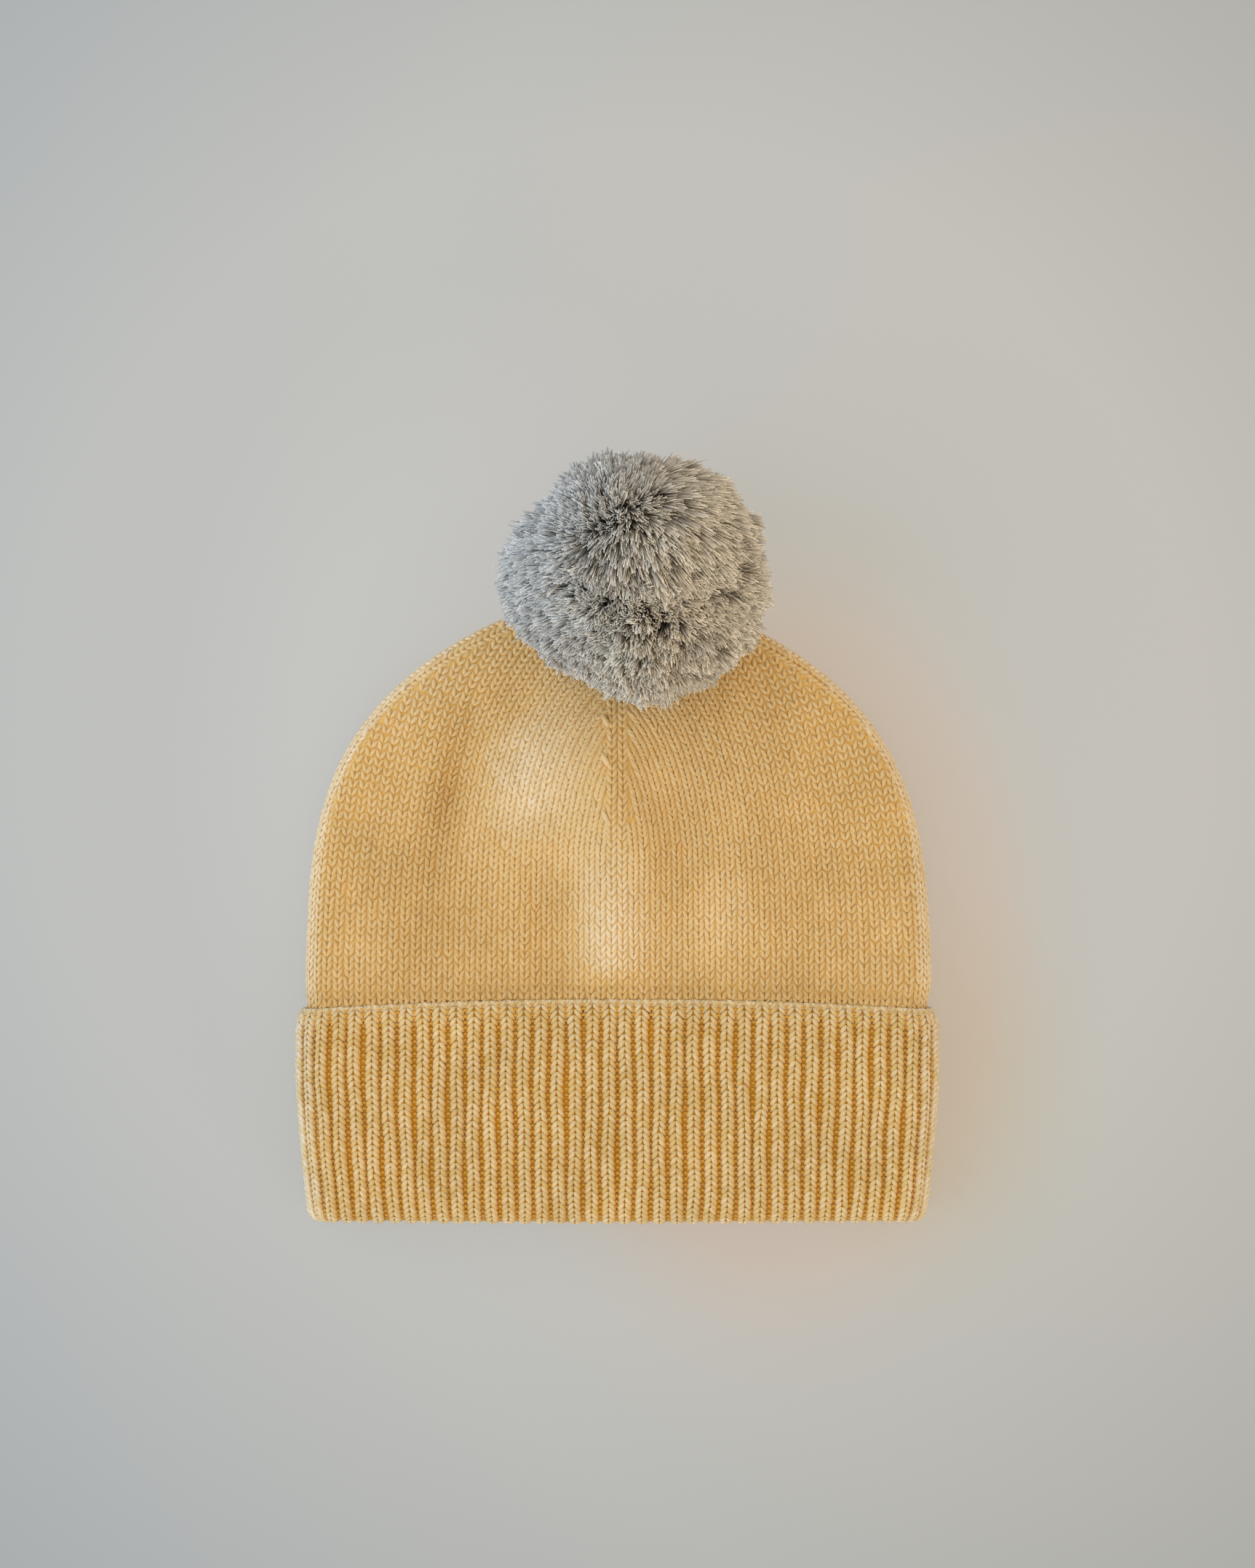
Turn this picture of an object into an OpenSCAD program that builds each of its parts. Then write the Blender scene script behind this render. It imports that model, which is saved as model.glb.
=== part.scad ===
// Knit hat with a turned-up ribbed cuff and a plush fur pompom, laid flat.
// Millimetres. +Z is up from the table, +Y runs from the mouth to the pompom,
// +X is the hat's right as seen from above. The table is z = 0, and x = y = 0 is
// the middle of the box around the whole hat.

/* [Turned-up cuff] */
// Width of the laid cuff across its free edge
cuff_w = 215; // [190:1:240]
// Height of the turn-up from the fold to the free edge
cuff_h = 72; // [50:1:90]
// How much narrower the cuff is on each side at the fold
cuff_taper = 4; // [0:0.5:6]
// Thickness of the laid cuff over all its layers
cuff_stack = 24; // [22:0.5:32]
// Rise of the middle of the front over its sides
cuff_bulge = 2.5; // [0:0.5:5]
// Ribs around the turn-up, an even number
rib_count = 82; // [60:2:100]
// Depth of the groove between two ribs
rib_depth = 1.3; // [0.6:0.1:1.8]
// Thickness of the ribbed turn-up
turn_up_t = 3.4; // [2.6:0.1:4.2]
// Height of the smooth cast-on edge along the turn-up
edge_h = 2.4; // [1.6:0.1:4]

/* [Inner rib] */
// Thickness of the ribbed layer inside the turn-up
inner_rib_t = 3.2; // [2.4:0.1:4]
// How far the crown reaches down inside the turn-up
tuck = 6; // [4:0.5:12]
// Room between the turn-up and the layer inside it
layer_gap = 0.4; // [0.3:0.05:0.8]

/* [Crown] */
// Height of the crown over the cuff's free edge
crown_h = 142; // [110:1:170]
// Thickness of the plain knit
knit_t = 2.4; // [1.8:0.1:3]
// Radius of the gathered tip
tip_r = 5.6; // [5.2:0.1:7]
// Rise of the crown's front over its folded sides
crown_bulge = 8; // [3:0.5:12]
// How full the shoulder is, higher is squarer
shoulder = 3.6; // [2.8:0.1:4.4]
// Height of the soft ridge that runs up the front
ridge_rise = 3; // [0:0.25:4]
// Distance of that ridge to the right of the middle
ridge_x = 6; // [0:1:14]
// Depth of the hollow in the front's left half
hollow_drop = 2.5; // [0:0.25:4]
// Distance of that hollow to the left of the middle
hollow_x = 53; // [40:1:62]

/* [Pompom] */
// Radius of the pompom
pompom_r = 42; // [34:0.5:46]
// Distance of its middle to the right of the hat's middle
pompom_x = 5; // [-8:0.5:8]
// Distance of its middle below the tip, towards the mouth
pompom_back = 2; // [0:0.5:6]
// How far the pompom settles into the table
pompom_sink = 3.4; // [2:0.1:5]
// Unevenness of the pile
pompom_lump = 1.2; // [0:0.1:2]
// Depth of the pile with its backing cloth
pile_t = 22; // [20:0.5:26]
// Gap between the backing cloth and the filling
filling_gap = 0.3; // [0.2:0.05:0.6]
// Gap between the pompom and the crown under it
pompom_gap = 0.8; // [0.5:0.1:2]

/* [Threads] */
// Radius of the drawn thread that closes the tip
gather_r = 0.8; // [0.6:0.05:1]
// Radius of the pompom's tail thread
tail_r = 1.2; // [0.9:0.05:1.4]
// Radius of the thread that draws the pompom's cover shut
draw_r = 1.1; // [0.8:0.05:1.3]
// Room between threads that move on each other
thread_gap = 0.3; // [0.25:0.05:0.5]
// Radius of the seam threads
seam_r = 0.45; // [0.3:0.05:0.5]

/* [Hidden] */
$fn = 32;

wool = [0.86, 0.68, 0.36];
wool_dark = [0.78, 0.58, 0.28];
grey_fur = [0.56, 0.55, 0.52];
filling_white = [0.90, 0.90, 0.88];
grey_thread = [0.40, 0.39, 0.38];

// Laid cuff: radius of its folded sides and the height of its middle plane
cuff_r = cuff_stack / 2;
cuff_z = cuff_stack / 2;
inner_n = turn_up_t + layer_gap;
body_h = cuff_h - edge_h;
lip_h = turn_up_t;
rib_steps = 3 * rib_count;
edge_steps = 96;
edge_inset = 0.3;
seat_gap = 0.1;

// Crown: base size and its tip
crown_w = cuff_w / 2 - inner_n;
crown_r = cuff_r - inner_n;
crown_y0 = cuff_h - tuck;
apex_y = cuff_h + crown_h;
outline_p = 0.74;
tip_s = pow(1 - pow(tip_r / crown_w, 1 / outline_p), 1 / shoulder);
tip_y = cuff_h + crown_h * tip_s;
tip_z = tip_r;
front_nu = 16;
back_nu = 12;
gore_nv = 20;

// Threads at the tip, and the line that the pompom swings about
ring_y = tip_y + gather_r + seat_gap;
pivot_y = ring_y + gather_r + tail_r + 1.4;
pivot_z = tip_z;
staple_x = tip_r - 2 * gather_r - 0.6;
eye_r = gather_r + thread_gap + 0.8;
eye_tube = 0.8;
knot_at = staple_x + 3 * gather_r + 2;

// Pompom: middle, its hollow for the tip, and the neck where its cover is drawn shut
pompom_y = apex_y - pompom_back;
pompom_z = pompom_r - pompom_sink;
tip_hollow = tip_r + gather_r + 4.6;
crown_margin = 7;
ball_rings = 22;
ball_segs = 40;
core_r = pompom_r - pile_t;
ring_r = tail_r + thread_gap + draw_r;
neck_r = ring_r + draw_r + thread_gap;
foot = [0, pivot_y, pivot_z];
heart = [pompom_x, pompom_y, pompom_z];
tail_len = norm(heart - foot);

// Middle of the whole length, which becomes y = 0
reach = max([for (p = ball_points()) p[1]]);
mid_y = reach / 2;

function mix(a, b, t) = a + (b - a) * t;
function clamp(t) = min(1, max(0, t));
function ease(t) = let (c = clamp(t)) c * c * (3 - 2 * c);
function hill(x, w) = exp(-(x * x) / (2 * w * w));

// Half-width of the laid turn-up at a height over the fold
function cuff_a(y) = cuff_w / 2 - cuff_taper * (1 - clamp(y / cuff_h));

// How far up the crown a height is, from 0 at the free edge to 1 at the apex
function rise(y) = clamp((y - cuff_h) / crown_h);

// Half-width, fold radius, middle height and front swell of the crown at a height
function crown_a(y) = y < cuff_h ? cuff_a(y) - inner_n
    : crown_w * pow(max(0, 1 - pow(rise(y), shoulder)), outline_p);
function crown_fold(y) = min(max(crown_a(y), 0.1), mix(crown_r, tip_r, pow(rise(y), 2)));
function crown_mid(y) = crown_fold(y) + inner_n * (1 - ease(rise(y) * 3.6));
function crown_swell(y) = mix(cuff_bulge, crown_bulge, ease(rise(y) / 0.35))
    * (1 - ease((rise(y) - 0.5) / 0.5));

// Soft ridge and hollow of the front, fading out towards the cuff and the tip
function relief(x, y) = ease(rise(y) * 5) * (1 - ease((rise(y) - 0.6) / 0.4))
    * (ridge_rise * hill(x - ridge_x, 17) - hollow_drop * hill(x + hollow_x, 14));

// Point of a flat oval, d along it from the front's middle, n inside its outline
function oval(a, r, n, d) =
    let (l = a - r, q = d - l)
    d < l ? [d, r - n]
    : q < PI * r ? [l + (r - n) * sin(q / r * 180 / PI), (r - n) * cos(q / r * 180 / PI)]
    : [l - (q - PI * r), n - r];
function half_round(a, r) = 2 * (a - r) + PI * r;

// Point of the crown at share u across a gore and height y, n inside the surface
function crown_point(side, front, u, y, n) =
    let (a = crown_a(y), r = crown_fold(y), h = half_round(a, r) / 2,
        p = oval(a, r, n, front ? u * h : h + (1 - u) * h),
        x = side * p[0], k = pow(1 - pow(p[0] / a, 2), 2))
    [x, y, crown_mid(y) + p[1] + (front ? k * (crown_swell(y) + relief(x, y)) : 0)];

// Height of the surface that the pompom must stay above
function floor_z(x, y) =
    let (a = crown_a(y) + crown_margin, r = crown_fold(y), e = abs(x) - (a - r),
        dy = y - pivot_y,
        top = y > tip_y + 3 || abs(x) > a ? 0
            : crown_mid(y) + (e < 0 ? r : sqrt(max(0, r * r - e * e)))
            + pow(1 - pow(min(1, x / a), 2), 2) * (crown_swell(y) + max(0, relief(x, y)))
            + pompom_gap,
        hollow = abs(dy) < tip_hollow ? pivot_z + sqrt(tip_hollow * tip_hollow - dy * dy) : 0)
    max(0, top, hollow);

// Reach of the pile in a direction, al from the +Y pole and be around it
function pile(al, be) = pompom_r
    + pompom_lump * sin(al) * (sin(3 * be + 40) * sin(2 * al) + 0.6 * sin(5 * be) * sin(4 * al));

// Points of the cover: rings between the two poles, then the poles
function ball_points() = concat(
    [for (i = [1:ball_rings - 1], j = [0:ball_segs - 1])
        let (al = 180 * i / ball_rings, be = 360 * j / ball_segs, r = pile(al, be),
            x = pompom_x + r * sin(al) * cos(be),
            y = pompom_y + r * cos(al),
            z = pompom_z + r * sin(al) * sin(be))
        [x, y, max(z, floor_z(x, y))]],
    [heart + [0, pompom_r, 0], heart - [0, pompom_r, 0]]);

// Turns a face's points round where a shape is mirrored
function wind(f, flip) = flip ? [for (i = [len(f) - 1:-1:0]) f[i]] : f;

// Two triangles from the four corners of a cell
function cell(a, b, c, d) = [[a, b, c], [a, c, d]];
function join(lists) = [for (l = lists, x = l) x];

// Closed sheet from an outer and an inner grid of the same size
function sheet_faces(nu, nv) =
    let (s = nv + 1, m = (nu + 1) * s)
    join(concat(
        [for (i = [0:nu - 1], j = [0:nv - 1])
            cell(i * s + j, i * s + j + 1, (i + 1) * s + j + 1, (i + 1) * s + j)],
        [for (i = [0:nu - 1], j = [0:nv - 1])
            cell(m + i * s + j, m + (i + 1) * s + j, m + (i + 1) * s + j + 1, m + i * s + j + 1)],
        [for (i = [0:nu - 1])
            cell(i * s, (i + 1) * s, m + (i + 1) * s, m + i * s)],
        [for (i = [0:nu - 1])
            cell(i * s + nv, m + i * s + nv, m + (i + 1) * s + nv, (i + 1) * s + nv)],
        [for (j = [0:nv - 1]) cell(j, m + j, m + j + 1, j + 1)],
        [for (j = [0:nv - 1])
            cell(nu * s + j, nu * s + j + 1, m + nu * s + j + 1, m + nu * s + j)]));

// One gore of the crown, side 1 is right and -1 is left
module gore(side, front, nu, nv) {
    ys = [for (j = [0:nv]) mix(crown_y0, tip_y, 1 - pow(1 - j / nv, 1.35))];
    pts = join([for (n = [0, knit_t], i = [0:nu])
        [for (j = [0:nv]) crown_point(side, front, i / nu, ys[j], n)]]);
    faces = sheet_faces(nu, nv);
    flip = (side > 0) != front;
    polyhedron(pts, [for (f = faces) wind(f, flip)]);
}

// Ring around the cuff: each row is [inset, height over the fold, share of the ribs]
module cuff_ring(rows, steps) {
    m = len(rows);
    pts = join([for (row = rows)
        let (a = cuff_a(row[1]), h = half_round(a, cuff_r))
        [for (i = [0:steps - 1])
            let (t = 2 * i / steps, s = t < 1 ? 1 : -1, d = (t < 1 ? t : 2 - t) * h,
                n = row[0] + (i % 3 == 0 ? row[2] * rib_depth : 0),
                p = oval(a, cuff_r, n, d),
                k = p[1] > 0 ? pow(1 - pow(p[0] / a, 2), 2) * cuff_bulge : 0)
            [s * p[0], row[1], cuff_z + p[1] + k]]]);
    faces = join([for (r = [0:m - 1], i = [0:steps - 1])
        let (q = (r + 1) % m, k = (i + 1) % steps)
        cell(r * steps + i, r * steps + k, q * steps + k, q * steps + i)]);
    polyhedron(pts, faces);
}

// Pompom's outside, flattened where it lies on the crown and the table
module ball() {
    m = ball_rings - 1;
    faces = concat(
        join([for (i = [0:m - 2], j = [0:ball_segs - 1])
            let (k = (j + 1) % ball_segs, a = i * ball_segs, b = (i + 1) * ball_segs)
            cell(a + j, b + j, b + k, a + k)]),
        [for (j = [0:ball_segs - 1]) [(j + 1) % ball_segs, m * ball_segs, j]],
        [for (j = [0:ball_segs - 1])
            [(m - 1) * ball_segs + j, m * ball_segs + 1, (m - 1) * ball_segs + (j + 1) % ball_segs]]);
    polyhedron(ball_points(), faces);
}

// Straight round thread between two points
module thread(a, b, r) {
    v = b - a;
    translate(a)
        rotate([0, acos(v[2] / norm(v)), atan2(v[1], v[0])])
            cylinder(h = norm(v), r = r);
}

// Frame at the tip with +Z along the pompom's tail
module along_tail(z) {
    v = heart - foot;
    translate(foot)
        rotate([0, acos(v[2] / tail_len), atan2(v[1], v[0])])
            translate([0, 0, z])
                children();
}

module crown_front_left() {
    color(wool) translate([0, -mid_y, 0]) gore(-1, true, front_nu, gore_nv);
}

module crown_front_right() {
    color(wool) translate([0, -mid_y, 0]) gore(1, true, front_nu, gore_nv);
}

module crown_back_left() {
    color(wool) translate([0, -mid_y, 0]) gore(-1, false, back_nu, gore_nv);
}

module crown_back_right() {
    color(wool) translate([0, -mid_y, 0]) gore(1, false, back_nu, gore_nv);
}

// Linking seam inside the middle of the back, a low ridge along the knit
module crown_back_seam() {
    steps = 12;
    ys = [for (j = [0:steps]) mix(crown_y0 + 2, mix(crown_y0, tip_y, 0.9), j / steps)];
    foot = [for (y = ys) [y - mid_y, crown_point(1, false, 0, y, knit_t)[2] + 0.25]];
    head = [for (j = [steps:-1:0]) foot[j] + [0, 2 * seam_r]];
    color(wool_dark) rotate([90, 0, 90]) linear_extrude(2 * seam_r, center = true)
        polygon(concat(foot, head));
}

// Drawn thread that closes the tip, with the stitch that the pompom hangs on
module gather_thread() {
    color(wool_dark) translate([0, -mid_y, 0]) {
        translate([0, ring_y, pivot_z])
            rotate([90, 0, 0])
                rotate_extrude()
                    translate([staple_x + gather_r, 0]) circle(r = gather_r);
        for (s = [-1, 1]) {
            thread([s * (staple_x + gather_r), ring_y, pivot_z],
                [s * (staple_x + gather_r), pivot_y, pivot_z], gather_r);
            translate([s * (staple_x + gather_r), pivot_y, pivot_z]) sphere(r = gather_r);
        }
        thread([-staple_x - gather_r, pivot_y, pivot_z],
            [staple_x + gather_r, pivot_y, pivot_z], gather_r);
    }
}

module inner_rib() {
    color(wool_dark) translate([0, -mid_y, 0])
        cuff_ring([[inner_n, lip_h + seat_gap, 0.6], [inner_n + inner_rib_t, lip_h + seat_gap, 0],
            [inner_n + inner_rib_t, crown_y0 - seat_gap, 0], [inner_n, crown_y0 - seat_gap, 0.6]],
            rib_steps);
}

// Ribbed turn-up, rolled in at the fold so that it closes over the inner layer
module turn_up() {
    color(wool) translate([0, -mid_y, 0])
        cuff_ring([[0, body_h, 1], [0, lip_h * 1.4, 1], [0.25 * lip_h, lip_h * 0.35, 0.8],
            [0.8 * lip_h, 0, 0.3], [inner_n + 0.55 * inner_rib_t, 0, 0.3],
            [inner_n + inner_rib_t, 0.4 * lip_h, 0], [inner_n + inner_rib_t, lip_h, 0],
            [turn_up_t, lip_h, 0], [turn_up_t, body_h, 0]], rib_steps);
}

module turn_up_edge() {
    y0 = body_h + seat_gap;
    color(wool) translate([0, -mid_y, 0])
        cuff_ring([[edge_inset, cuff_h - 0.3 * edge_h, 0], [edge_inset, y0 + 0.2 * edge_h, 0],
            [2 * edge_inset, y0, 0], [turn_up_t - edge_inset, y0, 0],
            [turn_up_t - edge_inset, cuff_h - 0.3 * edge_h, 0], [0.5 * turn_up_t, cuff_h, 0]],
            edge_steps);
}

// Linking thread of the turn-up, sunk in the groove at the middle of the back
module turn_up_seam() {
    color(wool_dark)
        thread([0, lip_h * 1.6 - mid_y, seam_r + 0.1], [0, body_h - 1 - mid_y, seam_r + 0.1], seam_r);
}

// Plush cover with its pile, open only at the neck
module pompom_cover() {
    color(grey_fur) translate([0, -mid_y, 0]) difference() {
        ball();
        translate(heart) sphere(r = core_r);
        along_tail(0) cylinder(h = tail_len - core_r + 2, r = neck_r);
    }
}

// Ball of soft filling
module pompom_filling() {
    color(filling_white) translate([0, -mid_y, 0]) translate(heart) sphere(r = core_r - filling_gap);
}

// Thread run round the neck of the cover and drawn tight
module pompom_drawstring() {
    color(grey_thread) translate([0, -mid_y, 0])
        along_tail(tail_len - core_r - draw_r - filling_gap)
            rotate_extrude() translate([ring_r, 0]) circle(r = draw_r);
}

// Tail of that thread: an eye round the stitch at the tip, and the run up to the neck
module pompom_tail() {
    color(grey_thread) translate([0, -mid_y, 0]) {
        translate(foot) rotate([0, 90, 0])
            rotate_extrude() translate([eye_r, 0]) circle(r = eye_tube);
        along_tail(eye_r) cylinder(h = tail_len - core_r - eye_r, r = tail_r);
    }
}

// Knot on the tail, just over the eye
module tail_knot() {
    color(grey_thread) translate([0, -mid_y, 0])
        along_tail(knot_at)
            rotate_extrude() translate([tail_r + 0.1 + 0.9, 0]) circle(r = 0.9);
}

crown_front_left();
crown_front_right();
crown_back_left();
crown_back_right();
crown_back_seam();
gather_thread();
inner_rib();
turn_up();
turn_up_edge();
turn_up_seam();
pompom_cover();
pompom_filling();
pompom_drawstring();
pompom_tail();
tail_knot();
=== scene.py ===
"""Looks of the knit hat: every stitch of yarn, the ribbed turn-up and the plush pompom.

Lengths are millimetres, measured from the fold of the turn-up as y = 0, until a mesh is made.
"""

import math

import bpy
import numpy as np
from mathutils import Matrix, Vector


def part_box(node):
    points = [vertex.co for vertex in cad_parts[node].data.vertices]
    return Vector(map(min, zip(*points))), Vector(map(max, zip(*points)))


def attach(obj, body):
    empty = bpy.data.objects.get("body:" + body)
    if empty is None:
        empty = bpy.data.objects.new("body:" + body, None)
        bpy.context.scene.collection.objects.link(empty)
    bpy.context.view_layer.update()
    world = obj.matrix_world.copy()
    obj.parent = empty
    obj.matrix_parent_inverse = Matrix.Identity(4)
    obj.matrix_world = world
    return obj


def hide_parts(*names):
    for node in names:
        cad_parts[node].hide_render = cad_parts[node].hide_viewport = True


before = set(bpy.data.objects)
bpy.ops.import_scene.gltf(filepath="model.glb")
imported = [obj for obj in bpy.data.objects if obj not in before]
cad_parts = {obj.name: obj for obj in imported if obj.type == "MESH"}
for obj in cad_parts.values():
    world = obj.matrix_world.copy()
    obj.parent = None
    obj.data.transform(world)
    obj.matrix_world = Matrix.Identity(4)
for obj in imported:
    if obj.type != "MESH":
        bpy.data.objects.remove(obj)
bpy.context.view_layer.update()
MM = 0.001

# The laid hat, with the sizes of its solids
CUFF_W = 215.0
CUFF_H = 72.0
CUFF_TAPER = 4.0
CUFF_BULGE = 2.5
CUFF_R = 12.0
RIB_COUNT = 82
TURN_UP_T = 3.4
INNER_N = 3.8
INNER_RIB_T = 3.2
TUCK = 6.0
CROWN_H = 142.0
CROWN_W = CUFF_W / 2 - INNER_N
CROWN_R = CUFF_R - INNER_N
CROWN_Y0 = CUFF_H - TUCK
CROWN_BULGE = 8.0
KNIT_T = 2.4
TIP_R = 5.6
TIP_Y = 213.23
SHOULDER = 3.6
OUTLINE_P = 0.74
FOLD_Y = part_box("turn_up")[0].y / MM

# Soft ridge and hollow of the front's solid, and the cuff's fullest height: place, width and size
RIDGE = (6.0, 17.0, 3.0)
HOLLOW = (-53.0, 14.0, -2.5)
CUFF_FULL = (54.0, 16.0, 0.4)

# Gauge of the plain knit and of the rib: wales of a gore, courses, and the width of a rib's face
WALES = 30
COURSE = 2.3
RIB_COURSE = 1.9
RIB_FACE = 3.9

# How the laid cuff departs from an even band: drawn in and lifted at its fold, where its front droops,
# and with a bowed free edge
TAPER_H = 50.0
TAPER_IN = 4.2
TAPER_POWER = 1.4
EDGE_BOW = 4.0
FOLD_DROOP = 4.0
FOLD_DROOP_H = 14.0
FOLD_LIFT = 1.0
FOLD_LIFT_H = 30.0

# How the crown departs from its solid: fuller sides, most of all low on the right, and a swelling of the
# front along the turn-up's edge, with its place past the edge and its width
SIDE_GROW = 0.8
RIGHT_Y = 90.0
RIGHT_LONG = 20.0
CUFF_LIP = 1.5
LIP_PAST = 1.2
LIP_WIDE = 1.7

# Paler wool along the outline, partly loose fibres and partly a painted highlight, how much of that the
# yarn in painted shade of each body loses, and the lowest that anything lies over the table
RIM_HIGHLIGHT_AND_FUZZ = 0.5
RIM_LOSS = {"cuff": 0.7, "hat": 0.3, "pompom": 0.3}
TABLE_GAP = 0.05

# The pompom and the stitch it hangs on
POMPOM_R = 42.0
HEART = np.array([5.0, 212.0, 38.6])
PIVOT = np.array([0.0, 217.53, 5.6])
CORE_R = 20.0
TIP_HOLLOW = 8.0
TIP_ROOM = 7.4
CROWN_MARGIN = 7.0
POMPOM_GAP = 0.8

# The photograph's view: height over the table, the point below the lens, and the long side it sees
VIEW_HEIGHT = 800.0
VIEW_POINT = (3.4, 20.0)
VIEW_LENGTH = 532.7
SENSOR = 36.0


def ease(t):
    """Smooth step from 0 to 1."""
    c = np.clip(t, 0, 1)
    return c * c * (3 - 2 * c)


def hill(x, width):
    """Bell curve of height 1."""
    return np.exp(-(x * x) / (2 * width * width))


def bump(x, shape):
    """Bell curve of a given place, width and height."""
    at, width, height = shape
    return height * hill(x - at, width)


def mix(a, b, t):
    """Straight blend from a to b."""
    return a + (b - a) * t


def unit(v):
    """Vectors of length 1."""
    return v / np.maximum(np.linalg.norm(v, axis=-1, keepdims=True), 1e-9)


def run_length(points):
    """Length along a line up to each of its points."""
    return np.concatenate([[0], np.cumsum(np.linalg.norm(np.diff(points, axis=0), axis=1))])


def jitter_of(rng, count):
    """Function that draws one chance offset of a given spread for each of some tubes."""
    return lambda spread: rng.normal(0, spread, (count, 1))


def oval(a, r, n, d):
    """Point of a flat oval, d along it from the front's middle and n inside its outline."""
    flat = a - r
    turn = np.clip((d - flat) / r, 0, np.pi)
    past = np.maximum(0, d - flat - np.pi * r)
    x = np.minimum(d, flat) + (r - n) * np.sin(turn) - past
    return x, (r - n) * np.cos(turn)


def half_round(a, r):
    """Length of half of that oval, from the middle of the front to the middle of the back."""
    return 2 * (a - r) + np.pi * r


# Crown: the surface of its four gores

def rise(y):
    """How far up the crown a height is, from 0 at the free edge to 1 at the apex."""
    return np.clip((y - CUFF_H) / CROWN_H, 0, 1)


def cuff_half(y):
    """Half-width of the laid turn-up at a height."""
    return CUFF_W / 2 - TAPER_IN * np.clip(1 - y / TAPER_H, 0, 1) ** TAPER_POWER + bump(y, CUFF_FULL)


def crown_half(y):
    """Half-width of the laid crown at a height, also inside the turn-up."""
    low = CUFF_W / 2 - CUFF_TAPER * (1 - np.clip(y / CUFF_H, 0, 1)) - INNER_N
    high = CROWN_W * np.maximum(0, 1 - rise(y) ** SHOULDER) ** OUTLINE_P
    return np.where(y < CUFF_H, low, high)


def crown_fold(y):
    """Radius of the crown's folded sides."""
    return np.minimum(np.maximum(crown_half(y), 0.1), mix(CROWN_R, TIP_R, rise(y) ** 2))


def crown_mid(y):
    """Height of the crown's middle plane over the table."""
    return crown_fold(y) + INNER_N * (1 - ease(rise(y) * 3.6))


def crown_swell(y):
    """Rise of the front's middle over its sides."""
    return mix(CUFF_BULGE, CROWN_BULGE, ease(rise(y) / 0.35)) * (1 - ease((rise(y) - 0.5) / 0.5))


def gore_width(y):
    """Width of a gore along its surface."""
    return half_round(crown_half(y), crown_fold(y)) / 2


def relief(x, y):
    """Soft ridge and hollow of the front's solid."""
    fade = ease(rise(y) * 5) * (1 - ease((rise(y) - 0.6) / 0.4))
    return fade * (bump(x, RIDGE) + bump(x, HOLLOW))


# Soft folds of the laid front: x, y, half-width, half-length, lean in degrees, height
FOLDS = (
    (-52, 149, 5, 17, -12, -5),
    (-35, 176, 6, 8, -35, -2.4),
    (-18, 146, 15, 16, 4, 2.8),
    (4, 131, 8, 22, 26, 4.2),
    (-21, 101, 6.5, 18, 6, -3.6),
    (-4, 97, 8, 15, 2, 2.8),
    (17, 103, 8, 15, -8, -2.4),
    (42, 103, 10, 16, -8, 2.4),
    (-77, 94, 7, 13, 0, 2.2),
)

# Patches of painted light, paler on the slopes of the front that face the light, and of painted shade, darker
# in its hollows, in the same terms
PAINTED_LIGHT_PATCHES = (
    (-30, 150, 11, 18, 2, 0.40),
    (-3, 97, 11, 19, 4, 0.60),
    (36, 103, 10, 15, -6, 0.28),
    (-88, 92, 6, 12, 0, 0.18),
    (-55, 150, 6, 20, -12, -0.34),
    (-36, 176, 6, 9, -35, -0.36),
    (-20, 100, 6, 18, 4, -0.28),
    (-70, 108, 24, 22, 0, -0.28),
    (0, 96, 34, 22, 0, -0.16),
    (-62, 182, 18, 14, 0, 0.14),
    (72, 120, 36, 40, 0, -0.16),
)


def bells(shapes, x, y):
    """Sum of long bell shapes over the front."""
    total = np.zeros(np.broadcast(x, y).shape)
    for at_x, at_y, wide, long, lean, height in shapes:
        c, s = math.cos(math.radians(lean)), math.sin(math.radians(lean))
        across = (x - at_x) * c + (y - at_y) * s
        along = (y - at_y) * c - (x - at_x) * s
        total = total + height * hill(across, wide) * hill(along, long)
    return total * ease((y - CUFF_H) / 16)


def outline_fuzz_and_light(x, y, z, body):
    """Paler wool along the outline, the fold and the turn-up's edge, partly loose fibres and partly
    painted highlight; and painted shade on the crown beside the edge.
    """
    a = np.maximum(np.where(y < CUFF_H, cuff_half(y), crown_half(y)), 1)
    middle = np.where(y < CUFF_H, CUFF_R, crown_mid(y))
    side = ease((np.abs(x) / a - 0.945) / 0.035) * ease((z - middle + 4) / 4)
    edge = y - CUFF_H - EDGE_BOW * np.clip(1 - (x / a) ** 2, 0, 1)
    if body == "cuff":
        side = np.maximum(side, 0.5 * ease((np.abs(x) / a - 0.90) / 0.05))
        # Painted highlight on the upper lip of the fold
        fold = 0.6 * ease((4 - y) / 3) * ease((z - CUFF_R - 2) / 5)
        return RIM_HIGHLIGHT_AND_FUZZ * np.maximum(np.maximum(side, fold), 0.45 * hill(edge, 1.8))
    # Painted shade on the crown beside the turn-up's edge
    return RIM_HIGHLIGHT_AND_FUZZ * (side * (edge > 1) * (y < TIP_Y - 4) - 0.8 * hill(edge, 6))


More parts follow.
